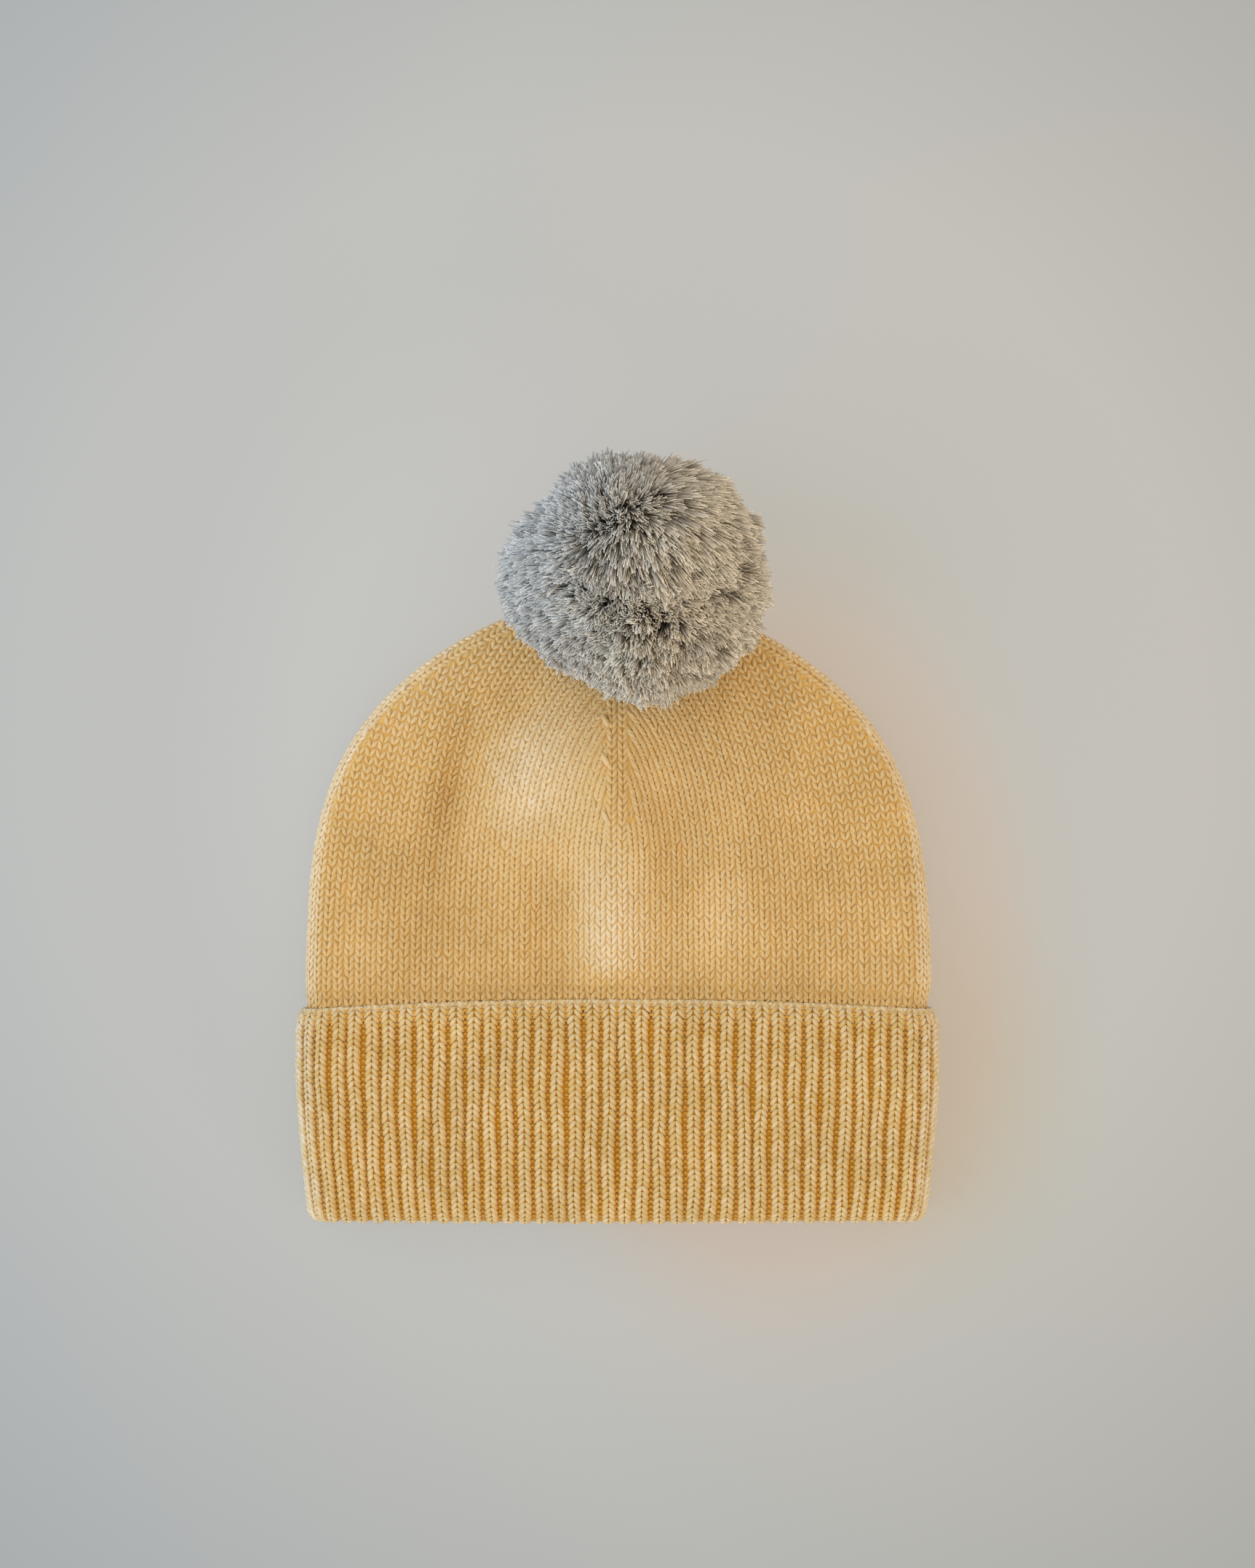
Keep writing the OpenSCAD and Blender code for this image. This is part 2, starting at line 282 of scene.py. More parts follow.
def crown_point(side, front, q, y, n):
    """Point of the crown, q across from the gore's middle edge, n inside the surface."""
    a, r = crown_half(y), crown_fold(y)
    d = q if front else 2 * gore_width(y) - q
    px, pz = oval(a, r, n, d)
    grow = SIDE_GROW * (1 + hill(y - RIGHT_Y, RIGHT_LONG) * (side > 0))
    grow = grow * ease((y - CUFF_H) / 10) * (1 - ease((rise(y) - 0.8) / 0.2))
    x = side * (px + grow * np.clip(px / np.maximum(a, 0.1), 0, 1) ** 4)
    z = crown_mid(y) + pz
    if front:
        inner = 1 - np.clip((px / np.maximum(a, 0.1)) ** 2, 0, 1)
        z = z + inner**2 * (crown_swell(y) + relief(x, y)) + inner * bells(FOLDS, x, y)
        lip = CUFF_LIP * np.minimum(1, 8 * inner)
        z = z + lip * hill(y - CUFF_H - EDGE_BOW * inner - LIP_PAST, LIP_WIDE)
    return np.stack(np.broadcast_arrays(x, y, z), axis=-1)


# Meshes: tubes of yarn, closed sheets and strands, each with a bake map of one cell per tube.
# The map holds the yarn in its lower part and the sheet behind it in a strip along its top

YARN_MAP = (0.0, 0.91)
KNIT_MAP = (0.0, 0.62)
PURL_MAP = (0.63, 0.91)
BACK_MAP = (0.92, 1.0)
WHOLE_MAP = (0.0, 1.0)
LOW_MAP = (0.0, 0.49)
HIGH_MAP = (0.5, 1.0)
MAP_MARGIN = 0.08


def place_map(uv, count, low, high):
    """Copies a tube's own map into a cell for each tube, in a grid between two heights of the map."""
    rows = max(1, math.ceil(math.sqrt(count * (high - low))))
    columns = math.ceil(count / rows)
    index = np.arange(count)
    size = np.array([1 / columns, (high - low) / rows])
    corner = np.stack([(index % columns) * size[0], low + (index // columns) * size[1]], axis=-1)
    return corner[:, None] + size * mix(MAP_MARGIN, 1 - MAP_MARGIN, uv[None])


def stamp(verts, quads, quad_uv, tris, tri_uv, deep, chance, band):
    """Repeats one tube's faces and map for all tubes."""
    count, size = verts.shape[:2]
    start = (np.arange(count) * size)[:, None]
    quads, tris = np.array(quads, int), np.array(tris, int)
    uv = np.concatenate([np.array(part, float).reshape(-1, 2) for part in (quad_uv, tri_uv)])
    uv = place_map(uv, count, *band)
    return {
        "verts": verts.reshape(-1, 3),
        "quads": (start + quads.reshape(1, -1)).reshape(-1, 4),
        "tris": (start + tris.reshape(1, -1)).reshape(-1, 3),
        "quad_uv": uv[:, :quads.size].reshape(-1, 2),
        "tri_uv": uv[:, quads.size:].reshape(-1, 2),
        "deep": deep.reshape(-1),
        "chance": np.repeat(chance, size),
    }


def cells(grid):
    """Corners of each cell of a grid, in turn."""
    corners = [grid[:-1, :-1], grid[:-1, 1:], grid[1:, 1:], grid[1:, :-1]]
    return np.stack(corners, axis=2).reshape(-1, 4, *grid.shape[2:])


def ring_grid(rows, columns):
    """Numbers of a grid's points, with the first column again at the end."""
    index = np.arange(rows * columns).reshape(rows, columns)
    return np.concatenate([index, index[:, :1]], axis=1)


def map_grid(u, v):
    """Places on the map of a grid, with u by its rows and v by its columns."""
    return np.stack(np.meshgrid(u, v, indexing="ij"), axis=-1)


def tubes(parts, sides, band):
    """Closed tubes of oval section, from their centres (tubes, rings, 3), points above these, half-widths,
    half-heights, depths of painted shade and chances."""
    centre, above, half_w, half_h, tuck, chance = parts
    count, rings = centre.shape[:2]
    along = unit(np.gradient(centre, axis=1))
    across = unit(np.cross(along, above - centre))
    up = np.cross(across, along)
    turn = 2 * np.pi * (np.arange(sides) + 0.5) / sides
    ring = (centre[:, :, None]
            + across[:, :, None] * np.cos(turn)[:, None] * half_w[:, :, None, None]
            + up[:, :, None] * np.sin(turn)[:, None] * half_h[:, :, None, None])
    first = centre[:, :1] - along[:, :1] * half_h[:, :1, None] * 0.7
    last = centre[:, -1:] + along[:, -1:] * half_h[:, -1:, None] * 0.7
    verts = np.concatenate([ring.reshape(count, rings * sides, 3), first, last], axis=1)
    # Painted shade on the underside of each tube, and at its end caps
    deep = tuck[:, :, None] + 0.2 * (1 - np.sin(turn)) / 2
    deep = np.concatenate([deep.reshape(count, -1), np.ones((count, 2))], axis=1)

    u, v = np.linspace(0.1, 0.9, rings), np.arange(sides + 1) / sides
    quads, quad_uv = cells(ring_grid(rings, sides).T), cells(map_grid(u, v).swapaxes(0, 1))
    end, pole = (rings - 1) * sides, rings * sides
    tris, tri_uv = [], []
    for j in range(sides):
        k, half = (j + 1) % sides, (v[j] + v[j + 1]) / 2
        tris += [(pole, j, k), (pole + 1, end + k, end + j)]
        tri_uv += [((0, half), (0.1, v[j]), (0.1, v[j + 1])), ((1, half), (0.9, v[j + 1]), (0.9, v[j]))]
    return stamp(verts, quads, quad_uv, tris, tri_uv, deep, chance, band)


def joined(sets):
    """One set of parts for tubes from several."""
    return [np.concatenate(part) for part in zip(*sets)]


def sheet(outer, inner, deep, band, closed=False, inside=None):
    """Closed sheet between an outer and an inner grid of points, or a ring of it."""
    rows, columns = outer.shape[:2]
    size = rows * columns
    index = ring_grid(rows, columns)[:, :columns + closed]
    across, up = np.linspace(0.02, 0.48, index.shape[1]), mix(*band, np.linspace(0.05, 0.95, rows))
    spots = map_grid(up, across)[..., ::-1]
    quads = [cells(index), cells(index + size)[:, ::-1]]
    uv = [cells(spots), cells(spots + (0.5, 0))[:, ::-1]]
    rims = [(np.s_[0], -1), (np.s_[-1], 1)]
    if not closed:
        rims += [(np.s_[:, 0], 1), (np.s_[:, -1], -1)]
    for rim, way in rims:
        quads.append(cells(np.stack([index[rim], index[rim] + size])[::way]))
        uv.append(cells(np.stack([spots[rim], spots[rim] + (0.005, 0)])[::way]))
    tones = (deep, deep if inside is None else inside)
    return {
        "verts": np.concatenate([outer.reshape(-1, 3), inner.reshape(-1, 3)]),
        "quads": np.concatenate(quads),
        "tris": np.zeros((0, 3), int),
        "quad_uv": np.concatenate(uv).reshape(-1, 2),
        "tri_uv": np.zeros((0, 2)),
        "deep": np.concatenate([np.broadcast_to(tone, (rows, columns)).ravel() for tone in tones]),
        "chance": np.full(2 * size, 0.5),
    }


def strand_shape(points, chance, radii, middle_tone):
    """Three-sided strands through root, middle and tip, pointed or, with a third radius, cut off there."""
    along = unit(points[:, 2] - points[:, 0])
    side = unit(np.cross(along, [0.37, 0.61, 0.70]))
    over = np.cross(along, side)
    turn = 2 * np.pi * np.arange(3) / 3
    star = np.cos(turn)[:, None] * side[:, None] + np.sin(turn)[:, None] * over[:, None]
    verts = [points[:, i:i + 1] + radius * star for i, radius in enumerate(radii)]
    pointed = len(radii) == 2
    deep = np.repeat([0.0, middle_tone, 1.0], [3, 3, 1 if pointed else 3])
    u, v = np.linspace(0.1, 0.6 if pointed else 0.9, len(radii)), np.arange(4) / 3
    quads, quad_uv = cells(ring_grid(len(radii), 3)), cells(map_grid(u, v))
    tris, tri_uv = [(2, 1, 0)], [((0, 0), (0.05, 0), (0, 0.05))]
    if pointed:
        verts.append(points[:, 2:])
        tris += [(3 + j, 3 + (j + 1) % 3, 6) for j in range(3)]
        tri_uv += [((0.6, v[j]), (0.6, v[j + 1]), (1, (v[j] + v[j + 1]) / 2)) for j in range(3)]
    else:
        tris.append((6, 7, 8))
        tri_uv.append(((0.95, 0), (1, 0), (0.95, 0.05)))
    deep = np.tile(deep, (len(points), 1))
    return stamp(np.concatenate(verts, axis=1), quads, quad_uv, tris, tri_uv, deep, chance, WHOLE_MAP)


def merge(shapes):
    """One shape from several."""
    starts = np.cumsum([0] + [len(s["verts"]) for s in shapes[:-1]])
    merged = {}
    for key in shapes[0]:
        shift = starts if key in ("quads", "tris") else 0 * starts
        merged[key] = np.concatenate([s[key] + start for s, start in zip(shapes, shift)])
    return merged


def put(name, data):
    """New object of the scene."""
    thing = bpy.data.objects.new(name, data)
    bpy.context.scene.collection.objects.link(thing)
    return thing


def add_piece(name, shape, material, body, node):
    """Makes the mesh of a shape, and lets it ride on a body in place of a solid."""
    mesh = bpy.data.meshes.new(name)
    quads, tris = shape["quads"], shape["tris"]
    corners = np.concatenate([quads.ravel(), tris.ravel()]).astype(np.int32)
    starts = np.concatenate([np.arange(len(quads)) * 4, quads.size + np.arange(len(tris)) * 3])
    shape["verts"][:, 2] = np.maximum(shape["verts"][:, 2], TABLE_GAP)
    verts = (shape["verts"] + np.array([0, FOLD_Y, 0])) * MM
    mesh.vertices.add(len(verts))
    mesh.vertices.foreach_set("co", verts.astype(np.float32).ravel())
    mesh.loops.add(len(corners))
    mesh.loops.foreach_set("vertex_index", corners)
    mesh.polygons.add(len(starts))
    mesh.polygons.foreach_set("loop_start", starts.astype(np.int32))
    mesh.polygons.foreach_set("use_smooth", np.ones(len(starts), bool))
    uv = np.concatenate([shape["quad_uv"], shape["tri_uv"]])
    mesh.uv_layers.new(name="OFBake").data.foreach_set("uv", uv.astype(np.float32).ravel())

    # The mesh's colours hold the depth in the knit or along a fibre, which sets painted shade in the knit and
    # the pile, a chance value, and the painted light and shade over the front with the paler fuzz along the
    # outline
    x, y, z = shape["verts"].T
    colour = np.ones((len(verts), 4), np.float32)
    colour[:, 0] = np.clip(shape["deep"], 0, 1)
    colour[:, 1] = shape["chance"]
    # Painted light and shade in patches over the front; along the outline paler fuzz and a painted highlight,
    # and painted shade beside the turn-up's edge
    painted_light_and_shade = bells(PAINTED_LIGHT_PATCHES, x, y) * ease((z - CROWN_R) / 5)
    pale = outline_fuzz_and_light(x, y, z, body) * (1 - RIM_LOSS[body] * colour[:, 0])
    colour[:, 2] = np.clip(0.5 + painted_light_and_shade + pale, 0, 1)
    mesh.attributes.new("yarn", "FLOAT_COLOR", "POINT").data.foreach_set("color", colour.ravel())
    mesh.update(calc_edges=True)
    mesh.materials.append(material)
    piece = put(name, mesh)
    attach(piece, body)
    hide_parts(node)


# Materials

def srgb(r, g, b):
    """Linear colour from the usual 0 to 255 values."""
    parts = [v / 255 for v in (r, g, b)]
    return [v / 12.92 if v <= 0.04045 else ((v + 0.055) / 1.055) ** 2.4 for v in parts] + [1.0]


def feed(node, inputs):
    """Links sockets to a node's inputs, and sets the other values on them."""
    for key, value in inputs.items():
        if isinstance(value, bpy.types.NodeSocket):
            node.id_data.links.new(value, node.inputs[key])
        else:
            node.inputs[key].default_value = value


def new_material(name):
    """Material with an empty tree apart from its shader, and a function that adds nodes with their inputs."""
    material = bpy.data.materials.new(name)
    material.use_nodes = True
    tree = material.node_tree

    def add(kind, inputs, **settings):
        """Adds a node with its settings and inputs."""
        node = tree.nodes.new(kind)
        for key, value in settings.items():
            setattr(node, key, value)
        feed(node, inputs)
        return node

    return material, tree.nodes["Principled BSDF"], add


def show(material, surface):
    """Makes a shader node the material's surface."""
    tree = material.node_tree
    tree.links.new(surface.outputs[0], tree.nodes["Material Output"].inputs["Surface"])


def ramp_node(add, value, stops):
    """Colour ramp through the given stops of place and colour."""
    ramp = add("ShaderNodeValToRGB", {"Fac": value})
    line = ramp.color_ramp.elements
    while len(line) < len(stops):
        line.new(0.5)
    for element, (place, colour) in zip(line, stops):
        element.position = place
        element.color = (*colour[:3], 1)
    return ramp.outputs["Color"]


def blend_node(add, factor, a, b, kind="MIX"):
    """Mix of two colours."""
    node = add("ShaderNodeMix", {0: factor, 6: a, 7: b}, data_type="RGBA", blend_type=kind)
    return node.outputs[2]


def product(add, colour, *others):
    """Colours multiplied together."""
    for other in others:
        colour = blend_node(add, 1.0, colour, other, "MULTIPLY")
    return colour


def object_place(add):
    """Place in the piece's own frame, in metres."""
    return add("ShaderNodeTexCoord", {}).outputs["Object"]


def map_range(add, value, **ends):
    """Value stretched between ends, named as from_min, from_max, to_min and to_max."""
    ends = {key.replace("_", " ").title(): end for key, end in ends.items()}
    return add("ShaderNodeMapRange", {"Value": value, **ends}).outputs["Result"]


def noise(add, place, scale, detail, roughness=0.5):
    """Cloudy noise."""
    inputs = {"Vector": place, "Scale": scale, "Detail": detail, "Roughness": roughness}
    return add("ShaderNodeTexNoise", inputs).outputs["Fac"]


def mesh_colours(add):
    """Depth in the knit for painted shade, chance, and painted light and shade from the mesh's colours."""
    colour = add("ShaderNodeAttribute", {}, attribute_name="yarn").outputs["Color"]
    return add("ShaderNodeSeparateColor", {"Color": colour}).outputs


# Tones of the wool: in slow drifts, from darker and warmer painted shade to paler and cooler painted light
# and fuzz, and from fibre to fibre
DRIFT_TONES = ((0.3, (0.93, 0.92, 0.90)), (0.7, (1.04, 1.04, 1.05)))
LIGHT_AND_SHADE_TONES = ((0.0, (0.86, 0.80, 0.68)), (0.5, (1, 1, 1)), (1.0, (1.11, 1.27, 1.82)))
FIBRE_TONES = ((0.3, (0.90, 0.89, 0.86)), (0.7, (1.07, 1.07, 1.08)))


def yarn_material(name, pale, full, deep, fuzz=0.35):
    """Soft wool in pale and full tones that differ at random, blended by the depth to a third tone, in the
    knit painted shade where the yarn tucks in; with painted light and shade, and fine fibres.
    """
    material, shader, add = new_material(name)
    depth, chance, paleness = mesh_colours(add)
    place = object_place(add)
    fibre = noise(add, place, 2200.0, 4.0, 0.7)
    # Painted shade: towards the third tone where the yarn tucks in
    body = blend_node(add, depth, blend_node(add, chance, pale, full), deep)
    tone = ramp_node(add, noise(add, place, 55.0, 3.0), DRIFT_TONES)
    # Painted light and shade over the front, with paler fuzz and a painted highlight along the outline
    painted_light_and_shade = ramp_node(add, paleness, LIGHT_AND_SHADE_TONES)
    speck = ramp_node(add, fibre, FIBRE_TONES)
    bump_node = add("ShaderNodeBump", {"Strength": 0.5, "Distance": 0.0002, "Height": fibre})
    feed(shader, {
        "Base Color": product(add, body, tone, painted_light_and_shade, speck),
        "Roughness": map_range(add, fibre, to_min=0.8, to_max=1.0),
        "Normal": bump_node.outputs["Normal"],
        "Specular IOR Level": 0.15,
        "Sheen Weight": fuzz,
        "Sheen Roughness": 0.5,
        "Sheen Tint": pale,
    })
    return material


def fuzz_material(name, pale, full, tip):
    """Loose fibres of the same wool, which let about half of the light through."""
    material = yarn_material(name, pale, full, tip)
    tree = material.node_tree
    shader = tree.nodes["Principled BSDF"]
    through = tree.nodes.new("ShaderNodeBsdfTranslucent")
    feed(through, {"Color": shader.inputs["Base Color"].links[0].from_socket})
    both = tree.nodes.new("ShaderNodeMixShader")
    feed(both, {0: 0.5, 1: shader.outputs[0], 2: through.outputs[0]})
    show(material, both)
    return material


# The pile's colours from root to tip, dark at the root with painted shade, on its side in painted cool
# light and on its side in painted warm light, and the slant that parts the sides
PILE_PLACES = (0.0, 0.6, 0.8, 1.0)
PILE_COOL_LIT = (srgb(50, 49, 47), srgb(98, 96, 91), srgb(165, 161, 153), srgb(232, 228, 220))
PILE_WARM_LIT = (srgb(52, 47, 40), srgb(102, 93, 79), srgb(174, 161, 140), srgb(242, 229, 206))
PILE_SLANT = -0.5
PILE_SIDES = (-0.068, -0.022)


def fur_material():
    """Plush pile: dark at the roots with painted shade, pale at the tips, with painted cool light on one side
    and painted warm light on the other.
    """
    material, shader, add = new_material("plush_fur")
    depth, chance, _ = mesh_colours(add)
    place = object_place(add)
    x, y, _ = add("ShaderNodeSeparateXYZ", {"Vector": place}).outputs
    slant = add("ShaderNodeMath", {0: y, 1: PILE_SLANT, 2: x}, operation="MULTIPLY_ADD").outputs[0]
    side = map_range(add, slant, from_min=PILE_SIDES[0], from_max=PILE_SIDES[1])
    cool, warm = (ramp_node(add, depth, tuple(zip(PILE_PLACES, pile))) for pile in (PILE_COOL_LIT, PILE_WARM_LIT))
    tone = ramp_node(add, noise(add, place, 160.0, 3.0), ((0.35, (0.86,) * 3), (0.65, (1.08,) * 3)))
    # Brightness of each strand by its shade, with painted shade and painted highlight in it
    strand = ramp_node(add, chance, ((0.0, (0.56,) * 3), (1.0, (1.27,) * 3)))
    feed(shader, {
        "Base Color": product(add, blend_node(add, side, cool, warm), tone, strand),
        "Roughness": map_range(add, chance, to_min=0.6, to_max=0.85),
        "Specular IOR Level": 0.3,
        "Sheen Weight": 0.2,
    })
    return material


# Each yarn's third tone is its painted shade where it tucks in; the fuzz's third tone is the tone of its tips
PLAIN = yarn_material("plain_knit", srgb(232, 202.5, 151), srgb(228, 192.5, 134), srgb(232, 181, 77))
RIB = yarn_material("rib_knit", srgb(233, 211, 165), srgb(219, 189, 126), srgb(215, 152, 28))
PLAIN_FUZZ = fuzz_material("plain_fuzz", srgb(244, 214, 156), srgb(240, 206, 144), srgb(255, 240, 206))
RIB_FUZZ = fuzz_material("rib_fuzz", srgb(244, 216, 160), srgb(240, 208, 146), srgb(255, 240, 208))
THREAD = yarn_material("seam_thread", srgb(222, 184, 112), srgb(208, 166, 92), srgb(170, 118, 44), 0.2)
GREY_THREAD = yarn_material("grey_thread", srgb(120, 119, 116), srgb(104, 103, 100), srgb(60, 59, 58), 0.2)
FILLING = yarn_material("filling", srgb(234, 234, 230), srgb(222, 222, 218), srgb(180, 180, 176), 0.3)
FUR = fur_material()


# Fuzz: loose fibres over the knit, as places along each fibre, their radii, the depth of colour of
# their middle, how deep they are rooted, and their number

FUZZ_RINGS = np.array([0.0, 0.5, 1.0])
FUZZ_R = (0.045, 0.04)
FUZZ_TONE = 0.55
FUZZ_ROOT = 0.7
CROWN_HAIRS = {True: 1800, False: 1400}
RIB_HAIRS = {"front": 2200, "back": 1500, "inner": 900}
EDGE_HAIRS = 1800


def fuzz_run(count, rng):
    """Run across, run up and lift along each loose fibre."""
    turn = rng.uniform(0, 2 * np.pi, (count, 1))
    run = rng.uniform(0.9, 3.2, (count, 1))
    lift = 0.7 + np.minimum(rng.exponential(0.5, (count, 1)), 2.0)
    return run * np.cos(turn) * FUZZ_RINGS, run * np.sin(turn) * FUZZ_RINGS, lift * FUZZ_RINGS**0.7


# Plain knit: two slanted legs of yarn for each stitch, with their sizes in the stitch's own

LEG_RINGS = np.linspace(0, 1, 5)
LEG_LENGTH = 1.34
LEG_FOOT = 0.073
LEG_HEAD = 0.437
LEG_WIDE = 0.218
LEG_TALL = 0.50
LEG_RISE = 0.5
LEG_SINK = 1.0
BACKING_N = 0.80
WALE = float(gore_width(np.array(CUFF_H))) / WALES

# Thickness along a leg, thin at both ends; how far it dips, a little at its foot and under the next
# stitch at its head; and its painted shade, most at the head under the next stitch and some at the foot
LEG_SWELL = 0.55 + 0.45 * np.sin(np.pi * LEG_RINGS) ** 0.6
LEG_DIP = LEG_RINGS**2 + 0.25 * (1 - LEG_RINGS) ** 6
LEG_SHADE = np.array([0.28, 0.05, 0.05, 0.15, 0.46])

# Where the gores start to narrow, the heights of the narrowings that show as marks, and the place across
# and the radius of an open mark
NARROW_Y = 130.0
MIDDLE_MARKS = (136.4, 155.0, 168.0, 181.0, 194.0)
SIDE_MARKS = (164.7, 179.3, 190.3, 201.0)
MARK_AT = 1.25 * WALE
MARK_R = 0.33 * WALE


def gore_stitches(open_marks):
    """Stitches of a gore as places across and up, the lean of their wale, and how far each sinks."""
    y = np.linspace(CROWN_Y0 + 1, TIP_Y - 0.5, 900)
    wide = gore_width(y)
    fullness = np.maximum(wide, gore_width(np.array(NARROW_Y))) / wide[0]
    slope = np.arctan2(np.gradient(wide), np.gradient(y))
    rows = []

    def wale(q_line, shift, keep):
        """Adds the stitches of a wale, shifted sideways from a line up the gore, where they are kept."""
        length = run_length(np.stack([q_line, y], axis=-1))
        at = np.arange(0.5 * COURSE, length[-1], COURSE)
        lean = np.interp(at, length, np.arctan2(np.gradient(q_line), np.gradient(y)))
        away = shift * np.interp(at, length, fullness)
        q = np.interp(at, length, q_line) + away * np.cos(lean)
        up = np.interp(at, length, y) - away * np.sin(lean)
        to_side = (gore_width(up) - q) * np.cos(np.interp(up, y, slope))
        sink, inside = keep(q, to_side, up)
        inside &= (up > CROWN_Y0 + 1) & (up < TIP_Y - 0.5)
        rows.append(np.stack([q, up, lean, sink], axis=-1)[inside])

    def body(q, to_side, up):
        """How far the gore's own stitches sink, and which are kept: none past its bands or in a mark."""
        near = np.minimum(q - WALE, to_side - 2 * WALE) / WALE
        hole = np.zeros(len(q), bool)
        for mark in MIDDLE_MARKS if open_marks else ():
            hole |= np.hypot(q - MARK_AT, up - mark) < MARK_R
        return ease((0.4 - near) / 0.9), (near > -0.7) & ~hole

    def band(q, to_side, up):
        """The same for the bands along the gore's edges, which stay whole."""
        return np.zeros(len(q)), np.ones(len(q), bool)

    for i in range(WALES):
        wale(wide / 2, (i + 0.5 - WALES / 2) * WALE, body)
    squeeze = np.minimum(1, wide / (3.2 * WALE))
    wale(0.5 * WALE * squeeze * fullness, 0.0, band)
    for j in (0.5, 1.5):
        wale(wide, -j * WALE, band)
    return np.concatenate(rows)


def crown_yarn(side, front, q, y, n):
    """Centres of tubes over a gore and points above them."""
    return crown_point(side, front, q, y, n), crown_point(side, front, q, y, n - 1)


def mark_legs(side, front, rng):
    """The slanted loops that were moved over at each narrowing."""
    rings = np.linspace(-0.5, 0.5, 5)
    q, y = [], []
    for mark in MIDDLE_MARKS if side < 0 else ():
        q.append(1.08 * WALE + 0.55 * WALE * rings)
        y.append(mark + 4.4 * rings)
    for mark in SIDE_MARKS:
        q.append(gore_width(np.array(mark)) - 1.95 * WALE - 0.35 * WALE * rings)
        y.append(mark + 4.2 * rings)
    q, y = np.array(q), np.minimum(np.array(y), TIP_Y - 0.3)
    count = len(q)
    jitter = jitter_of(rng, count)
    set_in = np.where(np.arange(count) < count - len(SIDE_MARKS), 0.05, 0.35)[:, None]
    n = set_in + 2.8 * rings**2 + jitter(0.05)
    size = 1.15 * np.array([0.55, 0.9, 1, 0.9, 0.55]) * (1 + jitter(0.06))
    return (*crown_yarn(side, front, q, y, n),
            0.85 * size, 0.66 * size, np.zeros((count, 5)), 0.3 * rng.random(count))


def knit_legs(side, front, stitches, rng):
    """Tubes for both legs of each stitch of a gore."""
    q, y, lean, sink = stitches.T[:, :, None]
    count = len(q)
    jitter = jitter_of(rng, count)
    legs = []
    for hand in (-1, 1):
        s = hand * WALE * mix(LEG_FOOT, LEG_HEAD, LEG_RINGS) + jitter(0.09)
        t = (LEG_RINGS - 0.5) * LEG_LENGTH * COURSE + jitter(0.13)
        leg_q = q + s * np.cos(lean) + t * np.sin(lean)
        leg_y = np.clip(y - s * np.sin(lean) + t * np.cos(lean), CROWN_Y0, TIP_Y)
        n = mix(LEG_RISE, LEG_SINK, LEG_DIP) + 0.6 * sink + jitter(0.05)
        size = LEG_SWELL * (1 + jitter(0.05))
        # Painted shade where the leg tucks in, more in the bands along the gore's edges
        tuck = np.clip(LEG_SHADE + 0.4 * sink, 0, 1)
        legs.append((*crown_yarn(side, front, leg_q, leg_y, n),
                     LEG_WIDE * WALE * size, LEG_TALL * size, tuck, rng.random(count)))
    return joined(legs)


def gore_backing(side, front):
    """Closed sheet behind the stitches, in painted shade."""
    y = mix(CROWN_Y0, TIP_Y, 1 - (1 - np.linspace(0, 1, 70)) ** 1.3)[:, None]
    q = np.linspace(0, 1, 60)[None] * gore_width(y)
    layers = [crown_point(side, front, q, y, np.full(q.shape, n)) for n in (BACKING_N, KNIT_T)]
    if (side > 0) != front:
        layers = [layer[:, ::-1] for layer in layers]
    return sheet(*layers, 0.7, BACK_MAP, inside=0.45)


def crown_fuzz(side, front, rng):
    """Fine fibres that stand off the stitches of a gore."""
    y = rng.uniform(CUFF_H - 2, TIP_Y - 2, 3 * CROWN_HAIRS[front])
    y = y[rng.random(len(y)) < gore_width(y) / gore_width(np.array(CUFF_H))][:CROWN_HAIRS[front]]
    q = rng.random(len(y)) * gore_width(y)
    dq, dy, lift = fuzz_run(len(y), rng)
    points = crown_point(side, front, q[:, None] + dq, y[:, None] + dy, FUZZ_ROOT - lift)
    return strand_shape(points, rng.random(len(points)), FUZZ_R, FUZZ_TONE)


def add_crown():
    """The four gores of the crown."""
    for index, (name, side, front) in enumerate((
        ("crown_front_left", -1, True), ("crown_front_right", 1, True),
        ("crown_back_left", -1, False), ("crown_back_right", 1, False),
    )):
        rng = np.random.default_rng(100 + index)
        legs = joined([knit_legs(side, front, gore_stitches(side > 0), rng), mark_legs(side, front, rng)])
        shape = merge([tubes(legs, 5, YARN_MAP), gore_backing(side, front)])
        add_piece("knit_" + name, shape, PLAIN, "hat", name)
        add_piece("fuzz_" + name, crown_fuzz(side, front, rng), PLAIN_FUZZ, "hat", name)


add_crown()


# Ribbed layers: a path from the free edge round the fold, with the rib's stitches along it

def path_of(points):
    """Path through points of inset and height, with its outward direction, by length."""
    points = np.array(points, float)
    length = run_length(points)
    even = np.linspace(0, length[-1], 400)
    n, y = np.interp(even, length, points[:, 0]), np.interp(even, length, points[:, 1])
    dn, dy = np.gradient(n), np.gradient(y)
    size = np.hypot(dn, dy)
    return {"length": length[-1], "at": even, "n": n, "y": y, "out_n": dy / size, "out_y": -dn / size}


def arc(cn, cy, rn, ry, start, end, steps=14):
    """Points of a part of an oval in inset and height."""
    turn = np.radians(np.linspace(start, end, steps))
    return [(cn + rn * math.cos(a), cy + ry * math.sin(a)) for a in turn]


